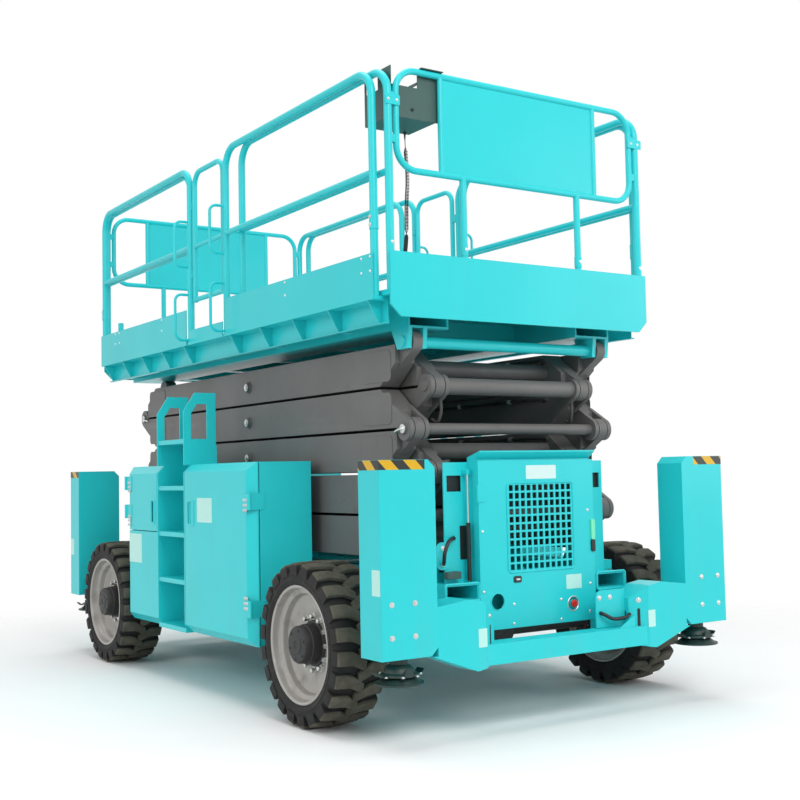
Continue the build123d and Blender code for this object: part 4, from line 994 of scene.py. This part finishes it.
@dataclass
class RailTrim:
    """Hinge bands with their pins on the posts, and screws in the toe boards."""

    post: float = 0.904
    post_front: float = -1.809
    post_rear: float = 2.089
    toe: float = 0.930
    frame_y: float = 1.883

    def build(self) -> None:
        """One piece on the platform and one on each sliding deck."""
        looks = [Look.TEAL, Look.ZINC]
        shell = Shell()
        for _, x in SIDES:
            for y in (self.post_front, self.post_rear):
                shell.put(ring_band(0.0208, 0.084), UP, (x * self.post, y, 2.508))
                pins = [(x * (self.post + 0.024), y, 2.530 + 0.04 * k) for k in range(2)]
                shell.put(bolt(0.007, 0.006), (x, 0, 0), pins, 1)
            for y in (-1.722, -1.805, 1.722, 1.805, -0.9, 0.9):
                shell.put(dome(0.008, 0.004), (x, 0, 0), [(x * self.toe, y, z) for z in (2.295, 2.369)], 1)
        shell.piece("post_bands", "platform", looks, "teal_paint", bevel=FINE_EDGE)
        for end, y in ENDS:
            shell = Shell()
            for x in (-0.856, -0.395, 0.395, 0.856):
                shell.put(ring_band(0.0168, 0.062), UP, (x, y * self.frame_y, 2.404))
                shell.put(bolt(0.006, 0.006), (0, y, 0), (x, y * (self.frame_y + 0.020), 2.435), 1)
            shell.piece(f"{end}_frame_bands", f"{end}_extension", looks, "teal_paint", bevel=FINE_EDGE)


@dataclass
class Housing:
    """Stripes, bolts and a blank plate on one leg housing, and the foot of its leg."""

    end: str
    side: str
    y: int
    x: int
    face: float = 2.190
    flank: float = 1.147
    leg: Pair = (0.9975, 2.0985)
    pad_top: float = 0.338

    def build(self) -> None:
        """The band wraps the housing's front and outer side below its top edge."""
        name = f"{self.end}_{self.side}"
        inner = 0.925 if (self.x > 0 and self.y < 0) else 0.890
        band = [(inner, 2.189), (1.146, 2.189), (1.146, 2.008), (1.1478, 2.008), (1.1478, 2.1908),
                (inner, 2.1908)]
        shell = slab(flipped(band, self.x, self.y), 1.296, 1.341)
        shell.piece(f"{name}_stripes", "chassis", [Look.STRIPE], "teal_paint")
        heads = [(self.x * a, self.y * self.face, z) for a in (1.089, 0.960) for z in (0.675, 0.523)]
        shell = Shell().put(bolt(0.009, 0.008), (0, self.y, 0), heads)
        spot = (self.x * self.flank, self.y * 2.150, 0.776)
        shell.put(plate(0.070, 0.120, 0.0012), (self.x, 0, 0), spot, 1)
        shell.piece(f"{name}_housing_bolts", "chassis", [Look.ZINC, Look.PLATE], "teal_paint")
        self.foot(name)

    def foot(self, name: str) -> None:
        """Ball housing, cheeks and a thin plate with upturned ends on the pad."""
        x, y, z = self.x * self.leg[0], self.y * self.leg[1], self.pad_top
        ball = lathe([(-0.002, 0.092), (0.008, 0.090), (0.014, 0.074), (0.030, 0.070), (0.044, 0.058),
                      (0.052, 0.041)], 32)
        strip = [(-0.112, 0.0), (0.112, 0.0), (0.128, 0.018), (0.124, 0.022), (0.110, 0.005),
                 (-0.110, 0.005), (-0.124, 0.022), (-0.128, 0.018)]
        cheek = slab([(-0.030, 0.0), (0.030, 0.0), (0.018, 0.034), (-0.018, 0.034)], -0.004, 0.004)
        ring = np.arange(8) * np.pi / 4 + np.pi / 8
        heads = np.c_[x + 0.104 * np.cos(ring), y + 0.104 * np.sin(ring), np.full(8, z)]
        shell = Shell().put(ball, UP, (x, y, z))
        shell.put(slab(strip, -0.030, 0.030), (0, self.y, 0), (x, y, z))
        shell.put(cheek, FRONT, [(x, y + d, z) for d in (-0.086, 0.086)])
        shell.put(bolt(0.007, 0.006), UP, heads, 1)
        looks = [Look.FOOT, Look.ZINC]
        shell.piece(f"{name}_foot_socket", f"{name}_jack_leg", looks, "green_black", bevel=0.001)


@dataclass
class CoverTrim:
    """Screws, button, latch, blank plates, handle strip and grille border on the front door."""

    face: float = -1.950
    screws: tuple[Pair, ...] = ((-0.372, 0.973), (-0.372, 0.666), (-0.177, 0.591), (-0.180, 0.491),
                                (0.144, 0.593), (0.143, 0.489), (0.349, 1.060), (0.354, 0.664),
                                (0.348, 0.515))

    def build(self) -> None:
        """Each row: shape, place across, height, mark of its finish."""
        button = lathe([(0.004, 0.0205), (0.010, 0.021), (0.015, 0.016), (0.017, 0.001)], 28)
        rows = [(rim(0.452, 0.462, 0.020, 0.0055), 0.018, 0.986, 0)]
        rows += [(dome(0.009, 0.005), x, z, 1) for x, z in self.screws]
        rows += [(button, 0.227, 0.565, 2), (rim(0.076, 0.076, 0.0379, 0.004), 0.227, 0.565, 1),
                 (rim(0.086, 0.086, 0.0429, 0.003), -0.283, 0.612, 0),
                 (plate(0.109, 0.076, 0.0012), 0.2365, 0.682, 3),
                 (plate(0.207, 0.072, 0.0012), 0.0265, 1.272, 4),
                 (plate(0.026, 0.110, 0.010, 0.008), 0.3785, 0.955, 5),
                 (plate(0.026, 0.064, 0.010, 0.008), 0.3785, 0.867, 6),
                 (plate(0.052, 0.034, 0.004, 0.010), -0.151, 0.718, 6),
                 (plate(0.026, 0.010, 0.009, 0.004), -0.151, 0.718, 1)]
        shell = Shell()
        for shape, x, z, mark in rows:
            shell.put(shape, FRONT, (x, self.face, z), mark)
        looks = [Look.TEAL, Look.ZINC, Look.RED, Look.PLATE, Look.WHITE, Look.LENS, Look.DARK]
        shell.piece("cover_trim", "front_cover_door", looks, "teal_paint", bevel=0.0006)


@dataclass
class BulkheadTrim:
    """Slot painted as a flat dark plate (painted shade), gas strut, bracket with its hose loop and small box
    left of the cover; dark plates behind holes as painted shade.
    """

    face: float = -1.858

    def build(self) -> None:
        """All on the chassis."""
        face = self.face
        # Painted shade: a flat dark plate stands in for the slot's shaded inside.
        shell = Shell().put(plate(0.046, 0.173, 0.0015), FRONT, (-0.426, face, 0.918))
        shell.put(plate(0.085, 0.036, 0.040, 0.004), FRONT, (-0.515, face, 0.757), 1)
        shell.put(plate(0.080, 0.140, 0.006, 0.030), FRONT, (-0.560, face, 0.855), 2)
        shell.put(bolt(0.008, 0.006), FRONT, [(-0.560, face - 0.006, z) for z in (0.815, 0.895)], 3)
        loop = [(-0.560, -1.866, 0.815), (-0.585, -1.905, 0.830), (-0.592, -1.925, 0.880),
                (-0.560, -1.915, 0.930), (-0.510, -1.885, 0.945), (-0.480, -1.850, 0.940)]
        shell.join(bent(loop, 36, 0.010))
        for low, high, radius, mark in ((0.714, 1.020, 0.011, 0), (1.020, 1.279, 0.005, 3)):
            rod = lathe([(low, 0.001), (low, radius), (high, radius), (high, 0.001)], 16)
            shell.put(rod, UP, (-0.420, -1.895, 0.0), mark)
        shell.put(plate(0.020, 0.026, 0.045, 0.004), FRONT, [(-0.420, face, z) for z in (0.714, 1.279)], 2)
        # Painted shade: dark plates behind the front holes and inside the rear grille keep the white
        # background from showing through.
        shell.put(plate(0.120, 0.110, 0.003), FRONT, [(x * 0.479, -1.835, 1.221) for _, x in SIDES])
        shell.put(plate(0.600, 0.400, 0.003), FRONT, (0.0, 1.928, 1.070))
        looks = [Look.DARK, Look.BRACKET, Look.TEAL, Look.ZINC]
        shell.piece("bulkhead_fittings_and_shade_plates", "chassis", looks, "black_paint", bevel=FINE_EDGE)


@dataclass
class ArmEndTrim:
    """Pocket rims, bolts, plates and the hydraulic hose on one outrigger frame."""

    end: str
    y: int

    def side(self, shell: Shell, x: int) -> None:
        """One side; the slanted face's place is its middle, and its direction is square to it."""
        out = (0, self.y, 0)
        shell.put(rim(0.211, 0.092, 0.014, 0.006), out, (x * 0.507, self.y * 1.950, 0.672))
        slant = (-x * 0.533, self.y * 0.846, 0.0)
        middle = (x * 0.501, self.y * 2.161)
        shell.put(bolt(0.009, 0.008), slant, (*middle, 0.578), 1)
        shell.put(plate(0.016, 0.110, 0.001, 0.007), slant, (*middle, 0.480), 2)
        shell.put(plate(0.052, 0.090, 0.0012), out, (x * 0.568, self.y * 2.190, 0.479), 3)
        if (x, self.y) == (-1, -1):
            return
        back = [(0.250, 0.445), (0.456, 0.445), (0.456, 0.640), (0.285, 0.640), (0.260, 0.630),
                (0.250, 0.605)]
        gusset = [(0.340, 0.440), (0.456, 0.440), (0.456, 0.505)]
        for outline, y in ((back, 2.095), (gusset, 2.170)):
            shape = slab(flipped(outline, x * -self.y, 1.0), 0.0, 0.008)
            shell.put(shape, out, (0.0, self.y * y, 0.0))
        shell.put(bolt(0.009, 0.007), out, [(x * a, self.y * 2.103, 0.601) for a in (0.274, 0.350)], 1)
        places = ((0.279, 2.100, 0.522), (0.285, 2.130, 0.515), (0.340, 2.140, 0.490), (0.420, 2.142, 0.492),
                  (0.462, 2.132, 0.505))
        shell.join(bent([(x * a, self.y * b, z) for a, b, z in places], 30, 0.010), 2)

    def build(self) -> None:
        """All on the chassis, the same on both ends."""
        shell = Shell()
        for _, x in SIDES:
            self.side(shell, x)
        looks = [Look.TEAL, Look.ZINC, Look.DARK, Look.PLATE]
        shell.piece(f"{self.end}_arm_fittings", "chassis", looks, "teal_paint", bevel=FINE_EDGE)


@dataclass
class CabinetTrim:
    """Hinge bolts, pull frames, a dark plate in each pull recess as painted shade, and blank plates on one
    side's doors.
    """

    side: str
    x: int
    face: float = 1.150
    pull_z: float = 1.065

    def build(self) -> None:
        """One piece on each door; a row has its end, hinge, hinge heights, pull and sign."""
        way = (self.x, 0, 0)
        doors = (("front", -1, -0.830, (1.120, 0.580), -0.081, (-0.267, 1.085, 0.210, 0.145)),
                 ("rear", 1, 0.955, (1.225, 1.000), 0.531, (0.841, 0.820, 0.218, 0.190)))
        for end, y, hinge, heights, pull, (sign_y, sign_z, wide, tall) in doors:
            shell = Shell()
            for z in heights:
                spots = [(self.x * (self.face + 0.004), hinge - y * 0.026 * k, z + 0.028 * j)
                         for k in range(2) for j in (-1, 0, 1)]
                shell.put(bolt(0.0065, 0.006), way, spots)
            shell.put(rim(0.060, 0.150, 0.012, 0.006), way, (self.x * self.face, pull, self.pull_z), 1)
            # Painted shade: a dark plate at the back of the pull's recess.
            recess = (self.x * (self.face - 0.026), pull, self.pull_z)
            shell.put(plate(0.038, 0.128, 0.0015, 0.002), way, recess, 3)
            shell.put(plate(wide, tall, 0.0012), way, (self.x * self.face, sign_y, sign_z), 2)
            looks = [Look.ZINC, Look.TEAL, Look.PLATE, Look.DARK]
            shell.piece(f"{self.side}_{end}_door_trim", f"{self.side}_{end}_door", looks, "teal_paint")


@dataclass
class ArmTrim:
    """Doubler plates, pin keepers, centre caps and cables on one level of the scissor."""

    level: int
    front: float = -1.730
    rear: float = 1.820
    hose: float = 0.0085

    def keepers(self, shell: Shell, x: int) -> None:
        """Keeper and grease nipple on each pin of a forked level."""
        seam = TOP_SEAM - self.level * SEAM
        keeper = lathe([(0.0, 0.024), (0.004, 0.024), (0.006, 0.012), (0.010, 0.010), (0.011, 0.001)], 20)
        for y, z, inward in ((self.front, seam, 1), (self.rear, seam + SEAM, -1)):
            shell.put(keeper, (x, 0, 0), (x * 0.703, y, z), 1)
            places = ((0.709, 0.0, 0.0), (0.716, 0.030, 0.006), (0.712, 0.060, 0.016), (0.700, 0.075, 0.020))
            shell.join(bent([(x * a, y + inward * b, z - c) for a, b, c in places], 16, 0.006, 10), 1)

    def build(self) -> None:
        """One piece on the outer arms and one on the inner arms."""
        mid = TOP_SEAM - (self.level - 0.5) * SEAM
        outer, inner = Shell(), Shell()
        for _, x in SIDES:
            way = (x, 0, 0)
            for y in (self.front + 0.26, self.rear - 0.26):
                outer.put(plate(0.300, 0.168, 0.0025, 0.030), way, (x * 0.695, y, mid))
            inner.put(bolt(0.016, 0.008, 1.45), way, (x * 0.715, 0.045, mid), 1)
            run = ((0.4415, -1.50, 0.055), (0.4300, -1.46, 0.075), (0.4305, -0.60, 0.070),
                   (0.4305, 0.50, 0.078), (0.4300, 1.40, 0.074), (0.4415, 1.45, 0.055))
            inner.join(bent([(x * a, y, mid + c) for a, y, c in run], 70, self.hose, 10), 2)
            clips = [(x * 0.4400, y, mid + 0.074) for y in (-1.2, -0.7, -0.25, 0.35, 0.85, 1.25)]
            inner.put(plate(0.030, 0.026, 0.020, 0.004), (-x, 0, 0), clips, 1)
            if self.level == 2:
                loop = ((0.470, -1.660, 0.060), (0.462, -1.700, 0.075), (0.456, -1.725, 0.030),
                        (0.456, -1.725, -0.030), (0.462, -1.700, -0.075), (0.470, -1.660, -0.060))
                inner.join(bent([(x * a, y, mid + c) for a, y, c in loop], 30, self.hose, 10), 2)
        if self.level % 2 == 0:
            for _, x in SIDES:
                self.keepers(outer, x)
        outer.piece(f"outer_arm_trim_{self.level}", f"outer_arms_{self.level}", [Look.ARM, Look.ZINC],
                    "arm_grey", bevel=FINE_EDGE)
        inner.piece(f"inner_arm_trim_{self.level}", f"inner_arms_{self.level}",
                    [Look.ARM, Look.ZINC, Look.ARM_HOSE], "arm_grey")


@dataclass
class CylinderTrim:
    """Oil pipe and its fittings along one lift cylinder's barrel."""

    name: str
    rise: float
    tilt: float = math.radians(9.7276)

    def build(self) -> None:
        """A point at run s and height h above the axis is the base plus both along the tilted axes."""
        along = np.array([0.0, math.cos(self.tilt), math.sin(self.tilt)])
        above = np.array([0.0, -math.sin(self.tilt), math.cos(self.tilt)])
        base = np.array([0.0, -1.330, 0.800 + self.rise])
        runs = ((0.20, 0.060), (0.21, 0.078), (0.30, 0.082), (1.30, 0.082), (1.38, 0.078), (1.39, 0.060))
        shell = bent([tuple(base + s * along + h * above) for s, h in runs], 50, 0.008, up=(1.0, 0.1, 0.0))
        for s in (0.20, 1.39):
            shell.put(bolt(0.014, 0.020, 1.1), tuple(above), tuple(base + s * along + 0.062 * above))
        shell.piece(f"{self.name}_pipe", self.name, [Look.ZINC], "cylinder_paint")


# Main


def dress_nodes() -> None:
    """Give every CAD node that stays in view its finish."""
    by_slot = {"teal_paint": Look.TEAL, "arm_grey": Look.ARM, "black_paint": Look.BLACK,
               "dark_metal": Look.BLOCK, "tyre_rubber": Look.HOSE, "rim_paint": Look.RIM,
               "green_black": Look.FOOT,
               "cylinder_paint": Look.CYLINDER, "chrome_rod": Look.ROD, "bracket_green": Look.BRACKET,
               "black_rubber": Look.HOSE}
    for entry in frame["record"]["subparts"]:
        mesh = frame["nodes"][entry["node"]].data
        mesh.materials.clear()
        mesh.materials.append(material(by_slot[entry["material_slot"]]))


def main() -> None:
    """Build the scene."""
    logging.basicConfig(level=logging.INFO)
    Studio().build()
    dress_nodes()
    ControlCord().build()
    for end, y in ENDS:
        for side, x in SIDES:
            centre = (x * 1.025, y * 1.420, 0.420)
            Tyre(f"{end}_{side}", centre, x).build()
            Wheel(f"{end}_{side}", centre, x).build()
    ControlUnit().build()
    RailTrim().build()
    CoverTrim().build()
    BulkheadTrim().build()
    for end, y in ENDS:
        ArmEndTrim(end, y).build()
        for side, x in SIDES:
            Housing(end, side, y, x).build()
    for side, x in SIDES:
        CabinetTrim(side, x).build()
    for level in range(1, 6):
        ArmTrim(level).build()
    CylinderTrim("lower_cylinder_barrel", 0.0).build()
    CylinderTrim("upper_cylinder_barrel", 0.450).build()


if __name__ == "__main__":
    main()
